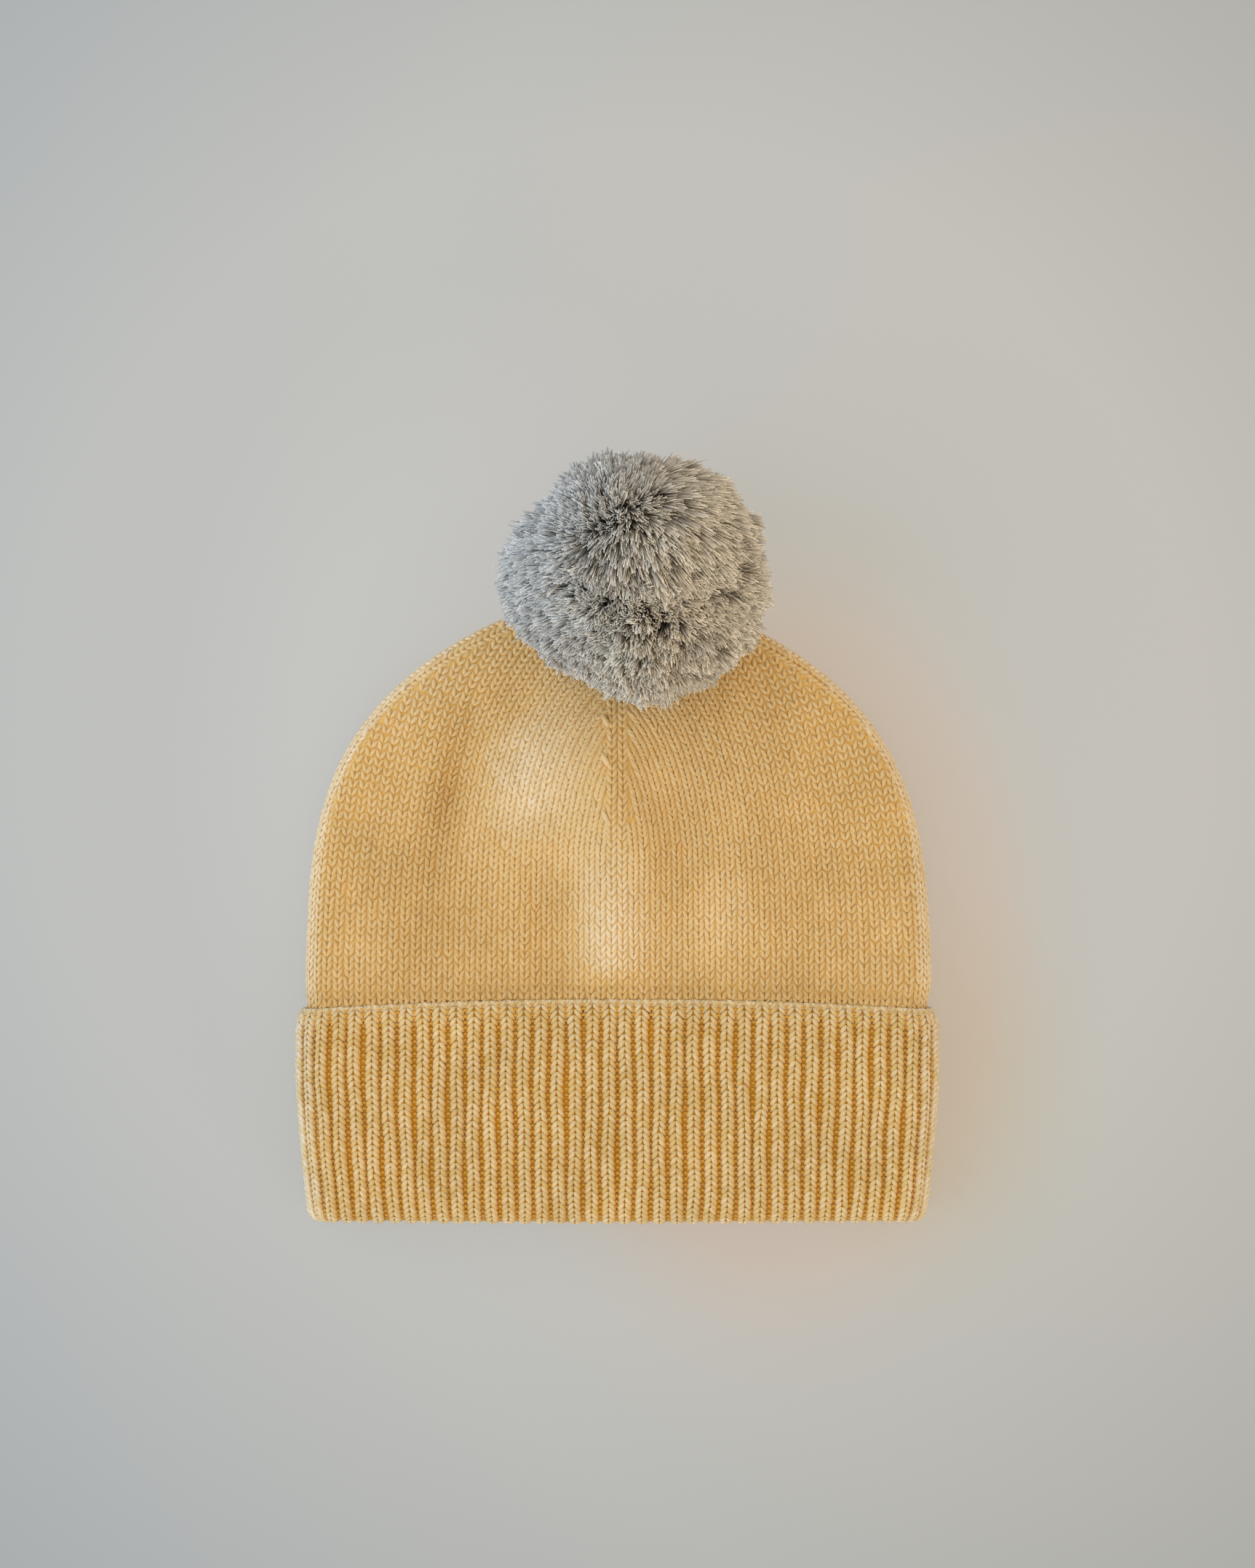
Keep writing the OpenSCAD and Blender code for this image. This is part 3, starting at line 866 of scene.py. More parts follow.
FOLD_PATH = path_of(
    [(2.9, 72.0), (2.2, 71.4), (1.5, 70.5), (0.9, 69.3), (0.4, 67.7), (0.1, 65.8)]
    + arc(3.4, 4.8, 3.4, 4.8, 180, 270)
    + arc(5.0, 2.0, 2.0, 2.0, 270, 360)
    + [(INNER_N + INNER_RIB_T, TURN_UP_T)])
INNER_PATH = path_of([(INNER_N, CROWN_Y0 - 0.1), (INNER_N, TURN_UP_T + 0.1)])
EDGE_PATH = path_of([(3.5, 70.0)] + arc(2.85, 71.3, 0.65, 0.9, 0, 180) + [(2.2, 70.6)])


def cuff_point(share, n, y):
    """Point of the cuff, share of the way round from the front's middle, right side first."""
    share = np.mod(share, 2)
    side = np.where(share < 1, 1.0, -1.0)
    a = CUFF_W / 2
    d = np.where(share < 1, share, 2 - share) * half_round(a, CUFF_R)
    px, pz = oval(a, CUFF_R, n, d)
    inner = np.clip(1 - (px / a) ** 2, 0, 1)
    px = px - (a - cuff_half(y)) * np.clip(px / a, 0, 1) ** 3
    front = ease(pz / CUFF_R * 1.5)
    droop = FOLD_DROOP * np.clip(1 - y / FOLD_DROOP_H, 0, 1) ** 2
    z = CUFF_R + pz + (inner**2 * CUFF_BULGE - droop) * front
    bow = EDGE_BOW * inner * np.clip(y / CUFF_H, 0, 1.2) ** 2 * front
    lift = FOLD_LIFT * np.clip(1 - y / FOLD_LIFT_H, 0, 1) ** 2
    return np.stack(np.broadcast_arrays(side * px, y + bow + lift, z), axis=-1)


def on_path(path, share, at, out):
    """Point at a length along a path, lifted out from it."""
    n = np.interp(at, path["at"], path["n"]) + out * np.interp(at, path["at"], path["out_n"])
    y = np.interp(at, path["at"], path["y"]) + out * np.interp(at, path["at"], path["out_y"])
    return cuff_point(share, n, y)


# Share of the way round the cuff that a millimetre is, of two for the whole way
TO_SHARE = 1 / half_round(CUFF_W / 2, CUFF_R)

# Half-widths and half-heights of the rib's yarn, the purl bars, those inside the hat, and the edge's loops
RIB_YARN = (0.86, 0.62)
PURL_YARN = (0.62, 0.5)
INSIDE_YARN = (0.66, 0.5)
EDGE_YARN = (0.78, 0.5)

# A rib's legs: how far out their feet and heads are, their length in courses and how deep they lie;
# the length below the free edge over which the ribs run together
RIB_FOOT = 0.26
RIB_HEAD = 2.06
RIB_LEG_LENGTH = 1.40
RIB_DEPTH = 0.52
RIB_TOP = 7.6

# How deep the purl bars lie on the outside and on the inside of the hat, and how far the latter reach
PURL_DEPTH = 1.6
INSIDE_DEPTH = 1.75
INSIDE_REACH = 1.6


def side_bend(share):
    """How far a place round the cuff is on the bend at either side, where the ribs close up."""
    return ease((np.abs(cuff_point(share, 0.0, CUFF_H / 2)[..., 0]) - 93) / 9)


def path_yarn(path, share, at, out, yarn, size, tuck, rng, tilt=0.0, facing=1):
    """Parts for tubes along a path, with their tops tilted sideways or facing the inside of the hat."""
    centre, above = on_path(path, share, at, out), on_path(path, share + tilt, at, out + facing)
    tuck = np.broadcast_to(tuck, size.shape)
    return centre, above, yarn[0] * size, yarn[1] * size, tuck, rng.random(len(share))


def rib_stitches(path, ribs, rng, inner):
    """Tubes for the knit columns of some ribs, and the low purl bars between them."""
    at = np.arange(0.5 * RIB_COURSE, path["length"] - 0.3 * RIB_COURSE, RIB_COURSE)
    rib = np.repeat(ribs, len(at))[:, None]
    at = np.tile(at, len(ribs))[:, None]
    jitter = jitter_of(rng, len(at))
    phase = rng.random(RIB_COUNT)[rib]
    wander = 0.26 * np.sin(at / 11 + 6.28 * phase) + 0.17 * np.sin(at / 4.3 + 12.5 * phase)
    close = 0 * at if inner else ease((1 - at / RIB_TOP) / 0.6)
    middle = (rib + 0.5) / RIB_COUNT * 2
    flow = -1 if inner else 1
    legs = []
    for hand in (-1, 1):
        s = hand * mix(RIB_FOOT, RIB_HEAD, LEG_RINGS) * (1 + 0.28 * close) + wander + jitter(0.06)
        t = flow * (LEG_RINGS - 0.5) * RIB_LEG_LENGTH * RIB_COURSE + jitter(0.08)
        where = np.clip(at + t, 0, path["length"])
        side_drop = 0.6 * (np.abs(s - wander) / (RIB_FACE / 2)) ** 2 * (1 - 0.7 * close)
        out = -RIB_DEPTH - 0.55 * LEG_DIP - side_drop + jitter(0.04)
        size = LEG_SWELL * (1 + jitter(0.05))
        # Painted shade at the sides of the rib's face and where its legs dip
        tuck = np.clip(0.35 * LEG_DIP + 0.35 * side_drop, 0, 1)
        tilt = hand * 0.55 * TO_SHARE
        legs.append(path_yarn(path, middle + s * TO_SHARE, where, out, RIB_YARN, size, tuck, rng, tilt))

    reach = np.linspace(-1, 1, 4)
    groove = rib / RIB_COUNT * 2
    out = -PURL_DEPTH + 0.9 * close - 0.5 * reach**2 + jitter(0.06)
    where = np.clip(at + 0.25 * RIB_COURSE * reach**2, 0, path["length"])
    size = np.array([0.6, 1, 1, 0.6]) * (1 + jitter(0.06))
    # Painted shade in the grooves between the ribs, a little less on the bend at either side
    tuck = 0.85 - 0.15 * side_bend(groove)
    purl = [path_yarn(path, groove + (reach + wander) * TO_SHARE, where, out, PURL_YARN, size, tuck, rng)]
    if inner:
        share = middle + (INSIDE_REACH * reach + wander) * TO_SHARE
        out = -INSIDE_DEPTH - 0.2 * reach**2 + jitter(0.06)
        # Painted shade on the purl bars inside the hat too
        purl.append(path_yarn(path, share, where, out, INSIDE_YARN, size, 0.3, rng, facing=-1))
    return joined(legs), joined(purl)


def rib_backing(path, first, last):
    """Closed sheet behind some ribs, which follows them in and out, in painted shade."""
    at = np.linspace(0, path["length"], 56)[:, None]
    share = np.linspace(first, last, 6 * round(RIB_COUNT * (last - first) / 2) + 1)[None]
    face = 0.5 - 0.5 * np.cos(np.pi * RIB_COUNT * share)
    depth = -1.95 + 1.05 * ease(face * 1.4 - 0.2) + 0 * at
    outer, inner = (on_path(path, share, at, out)[::-1] for out in (depth, depth - 0.9))
    return sheet(outer, inner, 1 - 0.2 * side_bend(share), BACK_MAP, inside=0.35 + 0.35 * face)


def path_fuzz(path, share, at, into, rng):
    """Fine fibres that stand off a path, from a little inside it."""
    dq, dy, lift = fuzz_run(len(at), rng)
    where = np.clip(at + dy, 0, path["length"])
    points = on_path(path, share + dq * TO_SHARE, where, lift - FUZZ_ROOT - into)
    return strand_shape(points, rng.random(len(points)), FUZZ_R, FUZZ_TONE)


def rib_fuzz(path, ribs, count, rng):
    """Fine fibres that stand off the faces of some ribs."""
    place = rng.normal(0, 0.27, (count, 1)) * RIB_FACE
    share = (rng.choice(ribs, (count, 1)) + 0.5) / RIB_COUNT * 2 + place * TO_SHARE
    at = rng.uniform(0.3, path["length"] - 0.3, (count, 1))
    into = 0.7 * np.minimum((2 * place / RIB_FACE) ** 2, 1.5)
    return path_fuzz(path, share, at, into, rng)


def add_ribs(name, path, body, node, inner, seed):
    """A ribbed layer in four quarters."""
    edges = np.linspace(0, RIB_COUNT, 5).round().astype(int)
    for quarter, word in enumerate(("front_right", "back_right", "back_left", "front_left")):
        rng = np.random.default_rng(seed + quarter)
        first, last = edges[quarter], edges[quarter + 1]
        ribs = np.arange(first, last)
        knit, purl = rib_stitches(path, ribs, rng, inner)
        shape = merge([
            tubes(knit, 5 if inner else 6, KNIT_MAP),
            tubes(purl, 5, PURL_MAP),
            rib_backing(path, first / RIB_COUNT * 2, last / RIB_COUNT * 2)])
        add_piece(f"{name}_{word}", shape, RIB, body, node)
        hairs = RIB_HAIRS["inner" if inner else word.split("_")[0]]
        shape = rib_fuzz(path, ribs, hairs, rng)
        add_piece(f"{name}_fuzz_{word}", shape, RIB_FUZZ, body, node)


add_ribs("turn_up_rib", FOLD_PATH, "cuff", "turn_up", False, 200)
add_ribs("inner_rib_knit", INNER_PATH, "hat", "inner_rib", True, 220)


# Cast-on edge: a thin soft bead along the top of the turn-up, where its ribs run together

EDGE_LOOPS = 4 * RIB_COUNT
EDGE_SLANT = 0.35


def edge_swell(share):
    """How far the bead swells at each rib."""
    return 0.16 * np.cos(RIB_COUNT * np.pi * share + np.pi)


def add_edge():
    """The bead, the loops of yarn over it, and their fuzz."""
    rng = np.random.default_rng(240)
    length = EDGE_PATH["length"]
    at = np.linspace(0, length, 14)[:, None]
    share = np.linspace(0, 2, 8 * RIB_COUNT, endpoint=False)[None]
    layers = [on_path(EDGE_PATH, share, at, edge_swell(share) - n + 0 * at)[::-1] for n in (0.45, 1.0)]
    # The bead's core in painted shade under its loops
    roll = sheet(*layers, 0.35, BACK_MAP, closed=True)
    jitter = jitter_of(rng, EDGE_LOOPS)
    loop = np.arange(EDGE_LOOPS)[:, None]
    rings = np.linspace(0.05, 0.95, 7)
    slant = np.where(loop % 2 == 0, EDGE_SLANT, -EDGE_SLANT) * (rings - 0.5)
    share = (loop + 0.5) / EDGE_LOOPS * 2 + jitter(0.0008) + slant * 2 / RIB_COUNT
    where = rings * length + 0 * share
    out = edge_swell(share) - 0.5 + jitter(0.06)
    size = (0.7 + 0.3 * np.sin(np.pi * (rings - 0.05) / 0.9)) * (1 + jitter(0.08))
    # Painted shade towards both ends of each loop
    tuck = 0.3 * np.abs(rings - 0.5)
    loops = tubes(path_yarn(EDGE_PATH, share, where, out, EDGE_YARN, size, tuck, rng), 6, YARN_MAP)
    add_piece("turn_up_edge_roll", merge([loops, roll]), RIB, "cuff", "turn_up_edge")
    share = rng.uniform(0, 2, (EDGE_HAIRS, 1))
    at = rng.uniform(0, length, (EDGE_HAIRS, 1))
    hairs = path_fuzz(EDGE_PATH, share, at, 0.0, rng)
    add_piece("turn_up_edge_fuzz", hairs, RIB_FUZZ, "cuff", "turn_up_edge")


add_edge()


# Threads: plies twisted round a line, with the radii and gaps of the solids

GATHER_R = 0.8
TAIL_R = 1.2
DRAW_R = 1.1
SEAM_R = 0.45
EYE_TUBE = 0.8
KNOT_R = 0.7
SEAT_GAP = 0.1
THREAD_GAP = 0.3
STAPLE_BEND = 0.6
SEAM_PITCH = 6.0


def resample(points, spacing):
    """Evenly spaced points along a line."""
    points = np.array(points, float)
    length = run_length(points)
    even = np.linspace(0, length[-1], max(8, int(length[-1] / spacing)))
    return np.stack([np.interp(even, length, points[:, k]) for k in range(3)], axis=-1)


def twisted(points, radius, band, plies=3, pitch=5.0):
    """Plied thread of a given radius along a line."""
    line = resample(points, radius * 0.7)
    along = unit(np.gradient(line, axis=0))
    spare = np.where(np.abs(along[:, 2:]) > 0.9, [[1.0, 0, 0]], [[0, 0, 1.0]])
    side = unit(np.cross(along, spare))
    up = np.cross(side, along)
    ply = radius * 0.54
    turn = run_length(line) / (pitch * radius) + np.arange(plies)[:, None] / plies
    turn = 2 * np.pi * turn[..., None]
    out = np.cos(turn) * side + np.sin(turn) * up
    centre = line + (radius - ply) * out
    size = np.full(centre.shape[:2], ply)
    chance = np.linspace(0.2, 0.8, plies)
    return tubes((centre, centre + out, size, size, np.zeros(size.shape), chance), 6, band)


def ring_line(middle, first, second, radius, turns=1.0, climb=(0, 0, 0)):
    """Points of a circle, or of a coil that climbs."""
    turn = np.linspace(0, 2 * np.pi * turns, int(48 * turns))[:, None]
    rise_by = np.linspace(-0.5, 0.5, len(turn))[:, None] * np.array(climb, float)
    return np.array(middle) + radius * (np.cos(turn) * first + np.sin(turn) * second) + rise_by


def add_hat_threads():
    """The drawn thread of the tip with the stitch on it, and both seams."""
    x, _, z = np.eye(3)
    ring_y = TIP_Y + GATHER_R + SEAT_GAP
    reach = TIP_R - GATHER_R - 0.6
    ring = ring_line((0, ring_y, TIP_R), x, z, reach)
    half = ((reach, ring_y), (reach, PIVOT[1] - STAPLE_BEND), (reach - STAPLE_BEND, PIVOT[1]))
    staple = [(-px, py, TIP_R) for px, py in half] + [(px, py, TIP_R) for px, py in half[::-1]]
    gather = merge([twisted(ring, GATHER_R, LOW_MAP), twisted(staple, GATHER_R, HIGH_MAP)])
    add_piece("gather_stitch", gather, THREAD, "hat", "gather_thread")

    seam_y = np.linspace(CROWN_Y0 + 2, mix(CROWN_Y0, TIP_Y, 0.9), 40)
    inside = crown_point(1, False, np.zeros(40), seam_y, np.full(40, KNIT_T + 0.25 + SEAM_R))
    seam = twisted(inside, SEAM_R, WHOLE_MAP, pitch=SEAM_PITCH)
    add_piece("crown_seam_thread", seam, THREAD, "hat", "crown_back_seam")
    low = SEAM_R + SEAT_GAP
    seam = twisted([(0, TURN_UP_T * 1.6, low), (0, CUFF_H - 3.4, low)], SEAM_R, WHOLE_MAP, pitch=SEAM_PITCH)
    add_piece("turn_up_seam_thread", seam, THREAD, "cuff", "turn_up_seam")


def add_pompom_threads():
    """The tail with its eye, the knot on it, and the thread that draws the cover shut."""
    x, y, z = np.eye(3)
    tail = unit(HEART - PIVOT)
    core_at = np.linalg.norm(HEART - PIVOT) - CORE_R
    side = unit(np.cross(tail, x))
    over = np.cross(side, tail)
    eye_r = GATHER_R + THREAD_GAP + EYE_TUBE
    eye = twisted(ring_line(PIVOT, y, z, eye_r), EYE_TUBE, LOW_MAP)
    run = twisted([PIVOT + tail * eye_r, PIVOT + tail * core_at], TAIL_R, HIGH_MAP)
    knot_at = PIVOT + tail * (TIP_R + GATHER_R + 1.4)
    knot = twisted(ring_line(knot_at, side, over, TAIL_R + 0.9, 2.2, tail * 1.2), KNOT_R, WHOLE_MAP)
    neck = PIVOT + tail * (core_at - DRAW_R - THREAD_GAP)
    draw = twisted(ring_line(neck, side, over, TAIL_R + THREAD_GAP + DRAW_R), DRAW_R, WHOLE_MAP)
    for name, shape, node in (
        ("pompom_tail_thread", merge([eye, run]), "pompom_tail"),
        ("pompom_tail_knot", knot, "tail_knot"),
        ("pompom_drawstring_thread", draw, "pompom_drawstring"),
    ):
        add_piece(name, shape, GREY_THREAD, "pompom", node)


add_hat_threads()
add_pompom_threads()


# Pompom: pile in small tufts over its backing cloth, and the filling

TUFTS = 13000
STRANDS = 5
CLUMPS = 2000
PILE_ROOT = 27.0
PILE_IN = 1.9
STRAND_R = (0.16, 0.24, 0.20)
STRAND_TONE = 0.6
FUR_PIECES = 8

# Places on the ball seen from above, in its radius: where the combed pile starts, the way it runs,
# and the ends of two short partings
COMBED_FROM = np.array([0.10, 0.76])
COMBED_WAY = np.array([0.50, -0.87])
PARTINGS = np.array([[[-0.36, -0.34], [-0.12, -0.17]], [[0.62, -0.17], [0.78, -0.11]]])

# Fuller and flatter sides of the ball seen from above: bearing and half-width in degrees, height
LUMPS = ((40, 34, 2.2), (80, 12, -1.8), (135, 11, -3.6), (170, 12, 2.0), (207, 10, -1.6), (242, 20, -6.6),
         (297, 10, -1.8), (335, 20, 1.8))


def hang_from(x):
    """How far past the stitch the pile may hang to the table, clear of the tip and flanks as it nods."""
    far = np.abs(x)
    y = np.linspace(NARROW_Y, TIP_Y, 300)
    flank = PIVOT[1] - np.interp(far - 2.0, crown_half(y)[::-1], y[::-1])
    ahead = mix(TIP_ROOM, 2.8, ease((far - TIP_R - 0.4) / 3))
    beside = 2.2 - np.sqrt(np.maximum(0, flank**2 - TIP_R**2))
    return np.where(far < TIP_R + 3.4, ahead, beside)


def settle(points):
    """Points of the pompom, pressed up by the crown, the tip and the table that it lies on."""
    x, y, z = np.moveaxis(points, -1, 0)
    a, r = crown_half(y) + CROWN_MARGIN, crown_fold(y)
    past = np.abs(x) - (a - r)
    bulge = np.where(past < 0, r, np.sqrt(np.maximum(0, r * r - past * past)))
    inner = (1 - np.minimum(1, np.abs(x) / a) ** 2) ** 2
    top = crown_mid(y) + bulge + inner * (crown_swell(y) + np.maximum(0, relief(x, y))) + POMPOM_GAP
    top = np.where((y > TIP_Y + 3) | (np.abs(x) > a), 0, top)
    dy = y - PIVOT[1]
    inside = (np.abs(dy) < TIP_HOLLOW) & (dy < hang_from(x))
    hollow = np.where(inside, PIVOT[2] + np.sqrt(np.maximum(0, TIP_HOLLOW**2 - dy**2)), 0)
    floor = np.maximum(np.maximum(top, hollow), 0) + 0.2
    return np.stack([x, y, np.maximum(z, floor)], axis=-1)


def pile(direction):
    """Reach of the pile in a direction."""
    x, y, z = np.moveaxis(direction, -1, 0)
    al, be = np.arccos(np.clip(y, -1, 1)), np.arctan2(z, x)
    wave = np.sin(3 * be + math.radians(40)) * np.sin(2 * al) + 0.6 * np.sin(5 * be) * np.sin(4 * al)
    bearing = np.degrees(np.arctan2(y, x))
    lumps = sum(height * hill(np.mod(bearing - at + 180, 360) - 180, wide) for at, wide, height in LUMPS)
    return POMPOM_R - PILE_IN + np.sin(al) * wave + lumps * np.hypot(x, y)


def ball_directions(count):
    """Evenly spread directions."""
    index = np.arange(count) + 0.5
    z = 1 - 2 * index / count
    turn = np.pi * (1 + 5**0.5) * index
    flat = np.sqrt(1 - z * z)
    return np.stack([flat * np.cos(turn), flat * np.sin(turn), z], axis=-1)


def tangent(direction, vector):
    """The part of a vector that lies along the ball's surface."""
    return vector - direction * np.sum(direction * vector, axis=-1, keepdims=True)


def cowlicks(direction, rng, count, pitch):
    """Leans that neighbouring tufts share, in smooth waves over the ball."""
    total = np.zeros(direction.shape)
    for _ in range(count):
        wave = np.sin(direction @ rng.normal(0, pitch, 3) + rng.random() * 2 * np.pi)
        total += wave[:, None] * rng.normal(0, 1, 3)
    return tangent(direction, total / math.sqrt(count))


def combed(direction):
    """Lean of the top of the pile: a long fan down and right, the left side, and two short partings."""
    flat = direction[:, :2]
    x, y = flat.T[:, :, None]
    past = flat - COMBED_FROM
    far = np.linalg.norm(past, axis=1, keepdims=True)
    turn = np.degrees(np.arctan2(past[:, 1:], past[:, :1]))
    fan = ease((turn + 160) / 50) * (1 - ease((turn - 10) / 40))
    fan = fan * ease(far / 0.26) * (1 - ease((far - 0.66) / 0.30))
    left = ease((-0.25 - x) / 0.5) * (1 - fan)
    over = ease((y - 0.5) / 0.3) * ease((x - 0.05) / 0.25)
    lean = 0.85 * fan * unit(past + 0.35 * COMBED_WAY) + 0.35 * left * unit(np.array([-1.0, -0.25]))
    lean = lean * (1 - over) + 0.8 * over * unit(np.array([1.0, -0.35]))
    for start, end in PARTINGS:
        line = end - start
        share = np.clip((flat - start) @ line / (line @ line), 0, 1)
        away = flat - start - share[:, None] * line
        off = np.linalg.norm(away, axis=1, keepdims=True)
        lean = lean + away * 0.3 * hill(off, 0.07) / np.maximum(off, 0.04)
    lean = np.concatenate([lean, np.zeros((len(lean), 1))], axis=1)
    return tangent(direction, lean) * ease((direction[:, 2:] + 0.1) / 0.4)


def fur_strands(rng):
    """Root, middle and tip of each strand, with a number from 0 to 1 for its shade, which differs at random
    and carries painted shade and painted highlight.
    """
    tuft = unit(ball_directions(TUFTS) + rng.normal(0, 0.012, (TUFTS, 3)))
    clump = unit(ball_directions(CLUMPS) + rng.normal(0, 0.035, (CLUMPS, 3)))
    own = np.argmax(tuft @ clump.T, axis=1)
    pull = tangent(tuft, clump[own] - tuft)
    slump = tangent(tuft, np.array([0, -0.05, -0.10]))
    lean = combed(tuft) + slump + 0.13 * cowlicks(tuft, rng, 8, 4.5) + 0.07 * cowlicks(tuft, rng, 10, 13.0)
    lean = lean + tangent(tuft, rng.normal(0, 0.12, (TUFTS, 3)))
    clump_tall = rng.normal(0, 0.028, (CLUMPS, 1))[own]
    tall = pile(tuft)[:, None] * (1 + clump_tall + rng.normal(0, 0.016, (TUFTS, 1)))
    tuft, lean, tall, pull = (np.repeat(v, STRANDS, axis=0) for v in (tuft, lean, tall, pull))
    count = len(tuft)
    spread = tangent(tuft, rng.normal(0, 1, (count, 3)))
    tall = tall * (1 + rng.normal(0, 0.014, (count, 1)))
    gap = (tall - PILE_ROOT) / tall
    root = unit(tuft - lean * gap * 0.5 + 0.016 * spread) * PILE_ROOT
    middle = unit(tuft - lean * gap * 0.05 + 0.016 * spread + 0.1 * pull) * mix(PILE_ROOT, tall, 0.6)
    tip = unit(tuft + lean * gap * 0.8 + 0.015 * spread + 0.30 * pull) * tall
    points = settle(np.stack([root, middle, tip], axis=1) + HEART)
    x, y, z = tuft.T
    # Painted shade in a band on the left of the top, and painted highlight on the fan at the right
    band = hill(x + 0.22 + 0.2 * y, 0.15) * hill(y - 0.1, 0.4)
    sunny = hill(x - 0.3, 0.25) * hill(y - 0.2, 0.3)
    shade = (0.12 * sunny - 0.2 * band) * (z > 0)
    chance = 0.5 + shade + 0.14 * np.repeat(rng.normal(0, 1, TUFTS), STRANDS) + rng.normal(0, 0.25, count)
    return points, np.clip(chance, 0, 1)


def ball_shape(radius, rough, deep, seed):
    """Closed lumpy ball about the pompom's middle."""
    rng = np.random.default_rng(seed)
    al = np.linspace(0.04, np.pi - 0.04, 48)[:, None]
    be = np.linspace(0, 2 * np.pi, 96, endpoint=False)[None]
    axes = np.sin(al) * np.cos(be), np.sin(al) * np.sin(be), np.cos(al) + 0 * be
    direction = np.stack(axes, axis=-1)
    lump = sum(np.sin(direction @ rng.normal(0, 5, 3) + rng.random() * 6.28) for _ in range(12)) / 12
    layers = [settle(HEART + direction * (size + rough * lump)[..., None]) for size in (radius, radius * 0.9)]
    return sheet(*layers, deep, WHOLE_MAP, closed=True)


def add_pompom():
    """The pile in several pieces, its backing cloth and the filling."""
    points, chance = fur_strands(np.random.default_rng(300))
    part = (np.arange(len(points)) // STRANDS) % FUR_PIECES
    for index in range(FUR_PIECES):
        own = part == index
        fur = strand_shape(points[own], chance[own], STRAND_R, STRAND_TONE)
        add_piece(f"pompom_fur_{index + 1}", fur, FUR, "pompom", "pompom_cover")
    # The backing cloth at the roots, in the pile's painted shade
    backing = ball_shape(PILE_ROOT + 2.0, 0.8, 0.12, 301)
    add_piece("pompom_backing", backing, FUR, "pompom", "pompom_cover")
    stuffing = ball_shape(CORE_R - 0.8, 0.9, 0.2, 302)
    add_piece("pompom_stuffing", stuffing, FILLING, "pompom", "pompom_filling")


add_pompom()


# Floor, light and camera

FLOOR_GLOW = 0.75
FLOOR_SIZE = 4.0
FLOOR_SIDE = 0.2
FLOOR_MIDDLE = (0, 0.04, 0)

# Colours at the left and right of the floor, for the light on it and for what the camera sees of it, the
# latter warmer so that the shadow reads warm, a painted warm shade, and warmer at the right, a painted warm
# light; and their change with the distance from its middle, a painted falloff of light, paler far off for the
# camera
FLOOR_LIT = (srgb(182, 192, 204), srgb(186, 192, 202))
FLOOR_SEEN = (srgb(194, 193, 187), srgb(200, 193, 178))
FLOOR_FALLOFF = ((0.2, (1, 1, 1)), (0.4, (0.70, 0.74, 0.78)))
FLOOR_AWAY = ((0.355, (1, 1, 1)), (0.45, (1.46, 1.38, 1.33)), (0.62, (1.78, 1.66, 1.6)),
              (1.0, (2.2, 2.03, 2.0)))

# Oval tints of the floor round the hat: scale and offset of place, and tints by distance; first the
# warm light that the wool throws to the right, then more of it by the cuff, then the window at the left
FLOOR_TINTS = (
    ((8.6, 5.8, 0), (-0.464, 0.209, 0),
     ((0.62, (1.08, 0.955, 0.875)), (0.78, (1.02, 0.99, 0.965)), (0.92, (1, 1, 1)))),
    ((18, 12, 0), (-2.07, 1.08, 0),
     ((0.3, (0.99, 0.97, 0.90)), (0.95, (1, 1, 1)))),
    ((8.0, 5.5, 0), (0.36, -0.16, 0),
     ((0.5, (1.065, 1.06, 1.065)), (0.67, (1.035, 1.03, 1.035)), (0.9, (1, 1, 1)))),
)


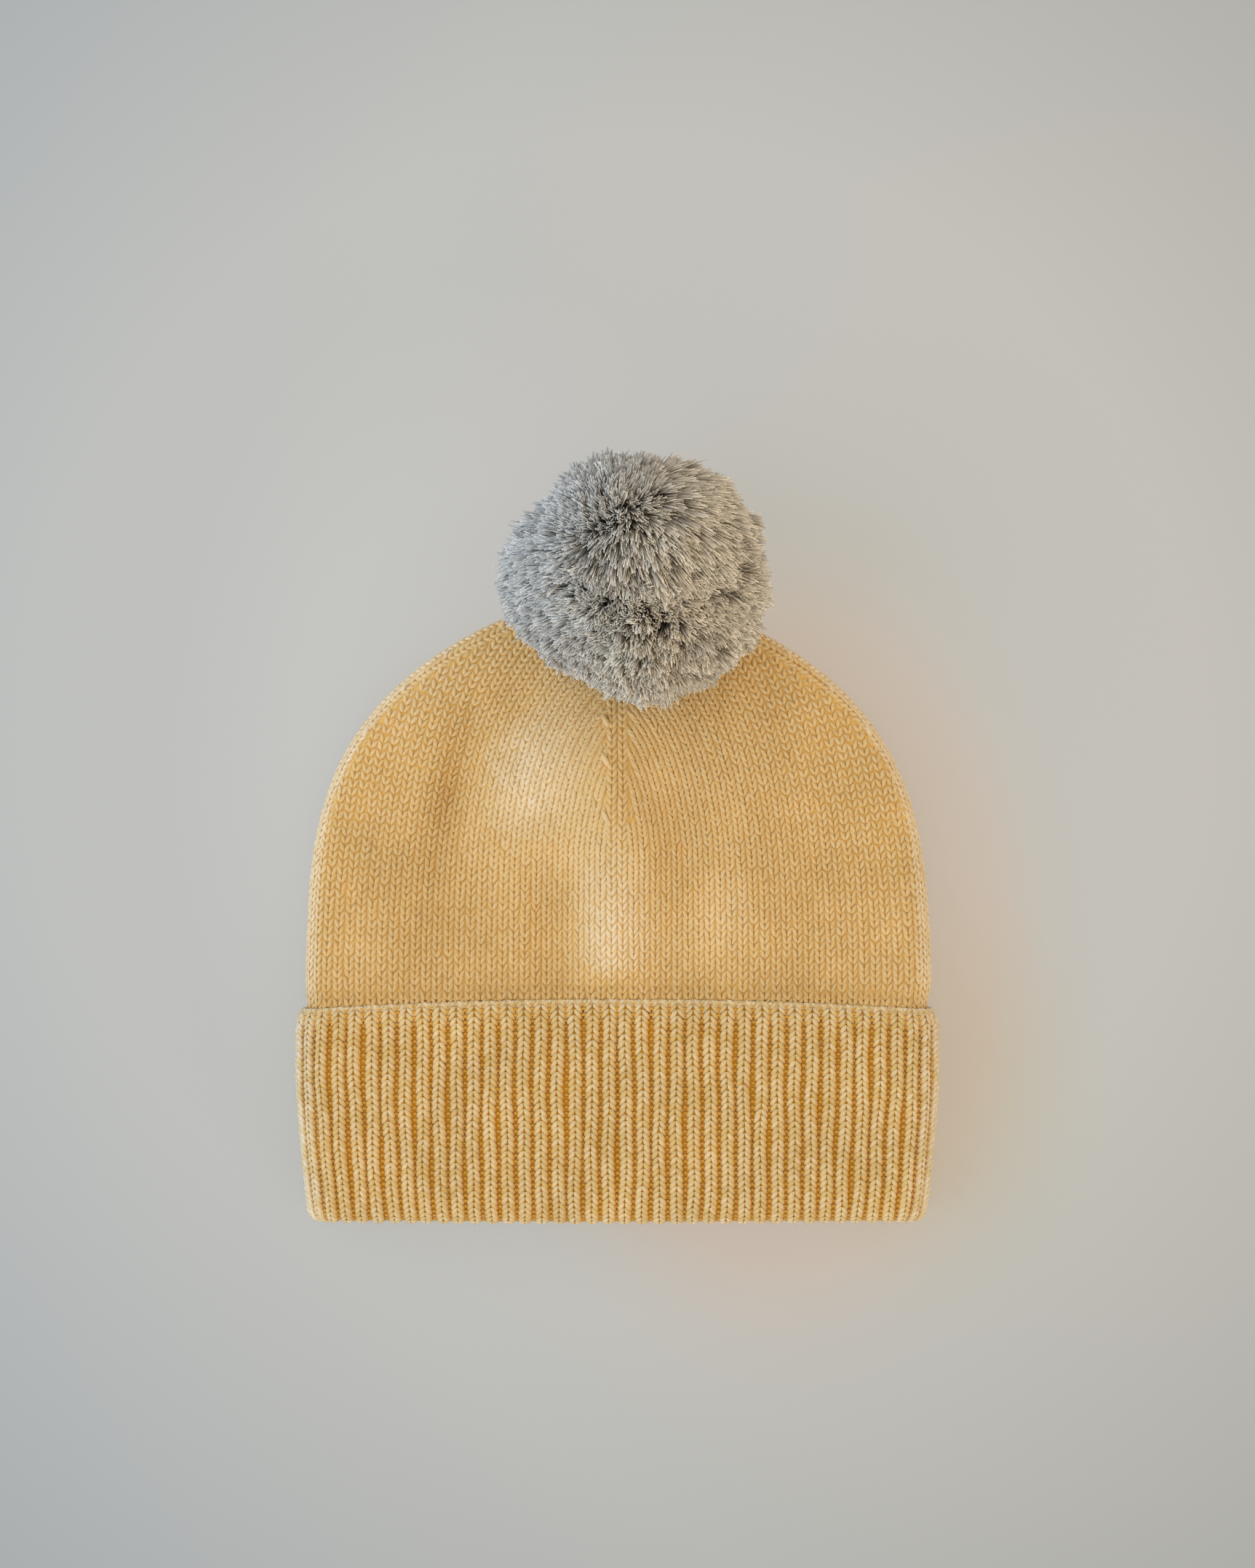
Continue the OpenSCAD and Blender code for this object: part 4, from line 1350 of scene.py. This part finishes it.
def floor_material():
    """Pale table, which shows the camera mostly a glow of its own and keeps part of the shadow."""
    material, shader, add = new_material("pale_table")
    place = object_place(add)

    def distance(kind, *values):
        """Length of the place after a sum with the given values."""
        inputs = dict(enumerate((place, *values)))
        moved = add("ShaderNodeVectorMath", inputs, operation=kind).outputs["Vector"]
        return add("ShaderNodeVectorMath", {0: moved}, operation="LENGTH").outputs["Value"]

    x = add("ShaderNodeSeparateXYZ", {"Vector": place}).outputs["X"]
    side = map_range(add, x, from_min=-FLOOR_SIDE, from_max=FLOOR_SIDE)
    far = distance("SUBTRACT", FLOOR_MIDDLE)
    tints = [ramp_node(add, distance("MULTIPLY_ADD", *oval_of), stops) for *oval_of, stops in FLOOR_TINTS]
    # Painted falloff of light away from the hat, with the painted warm light round it
    rim = product(add, ramp_node(add, far, FLOOR_FALLOFF), *tints)
    lit = product(add, blend_node(add, side, *FLOOR_LIT), rim)
    feed(shader, {"Base Color": lit, "Roughness": 0.9, "Specular IOR Level": 0.1})
    seen = product(add, blend_node(add, side, *FLOOR_SEEN), rim, ramp_node(add, far, FLOOR_AWAY))
    glow = add("ShaderNodeEmission", {"Color": seen})
    camera_ray = add("ShaderNodeLightPath", {}).outputs["Is Camera Ray"]
    share = add("ShaderNodeMath", {0: camera_ray, 1: FLOOR_GLOW}, operation="MULTIPLY").outputs[0]
    show(material, add("ShaderNodeMixShader", {0: share, 1: shader.outputs[0], 2: glow.outputs[0]}))
    return material


def add_floor():
    """Square of table under the hat."""
    mesh = bpy.data.meshes.new("floor")
    corners = [(FLOOR_SIZE * x, FLOOR_SIZE * y, 0) for x, y in ((-1, -1), (1, -1), (1, 1), (-1, 1))]
    mesh.from_pydata(corners, [], [(0, 1, 2, 3)])
    mesh.materials.append(floor_material())
    put("floor", mesh)


def add_sun(name, azimuth, elevation, spread, strength, colour):
    """Distant soft light from a direction, azimuth 0 at the right and 90 at the pompom."""
    data = bpy.data.lights.new(name, "SUN")
    data.angle = math.radians(spread)
    data.energy = strength
    data.color = colour
    put(name, data).rotation_euler = (math.radians(90 - elevation), 0, math.radians(azimuth + 90))


def add_light():
    """Cool window at the left, warm room at the right, and soft light all round."""
    add_sun("window", 188, 30, 50, 1.68, (0.52, 0.73, 1.0))
    add_sun("room", -15, 32, 80, 0.68, (1.0, 0.82, 0.55))
    world = bpy.data.worlds.new("room")
    world.use_nodes = True
    feed(world.node_tree.nodes["Background"], {"Color": (1.0, 0.95, 0.88, 1), "Strength": 0.76})
    bpy.context.scene.world = world


def add_camera():
    """The photograph's view, straight down."""
    data = bpy.data.cameras.new("camera")
    data.sensor_width = SENSOR
    data.lens = SENSOR * VIEW_HEIGHT / VIEW_LENGTH
    camera = put("camera", data)
    camera.location = (VIEW_POINT[0] * MM, VIEW_POINT[1] * MM, VIEW_HEIGHT * MM)
    bpy.context.scene.camera = camera


add_floor()
add_light()
add_camera()
bpy.context.scene.view_settings.view_transform = "Standard"
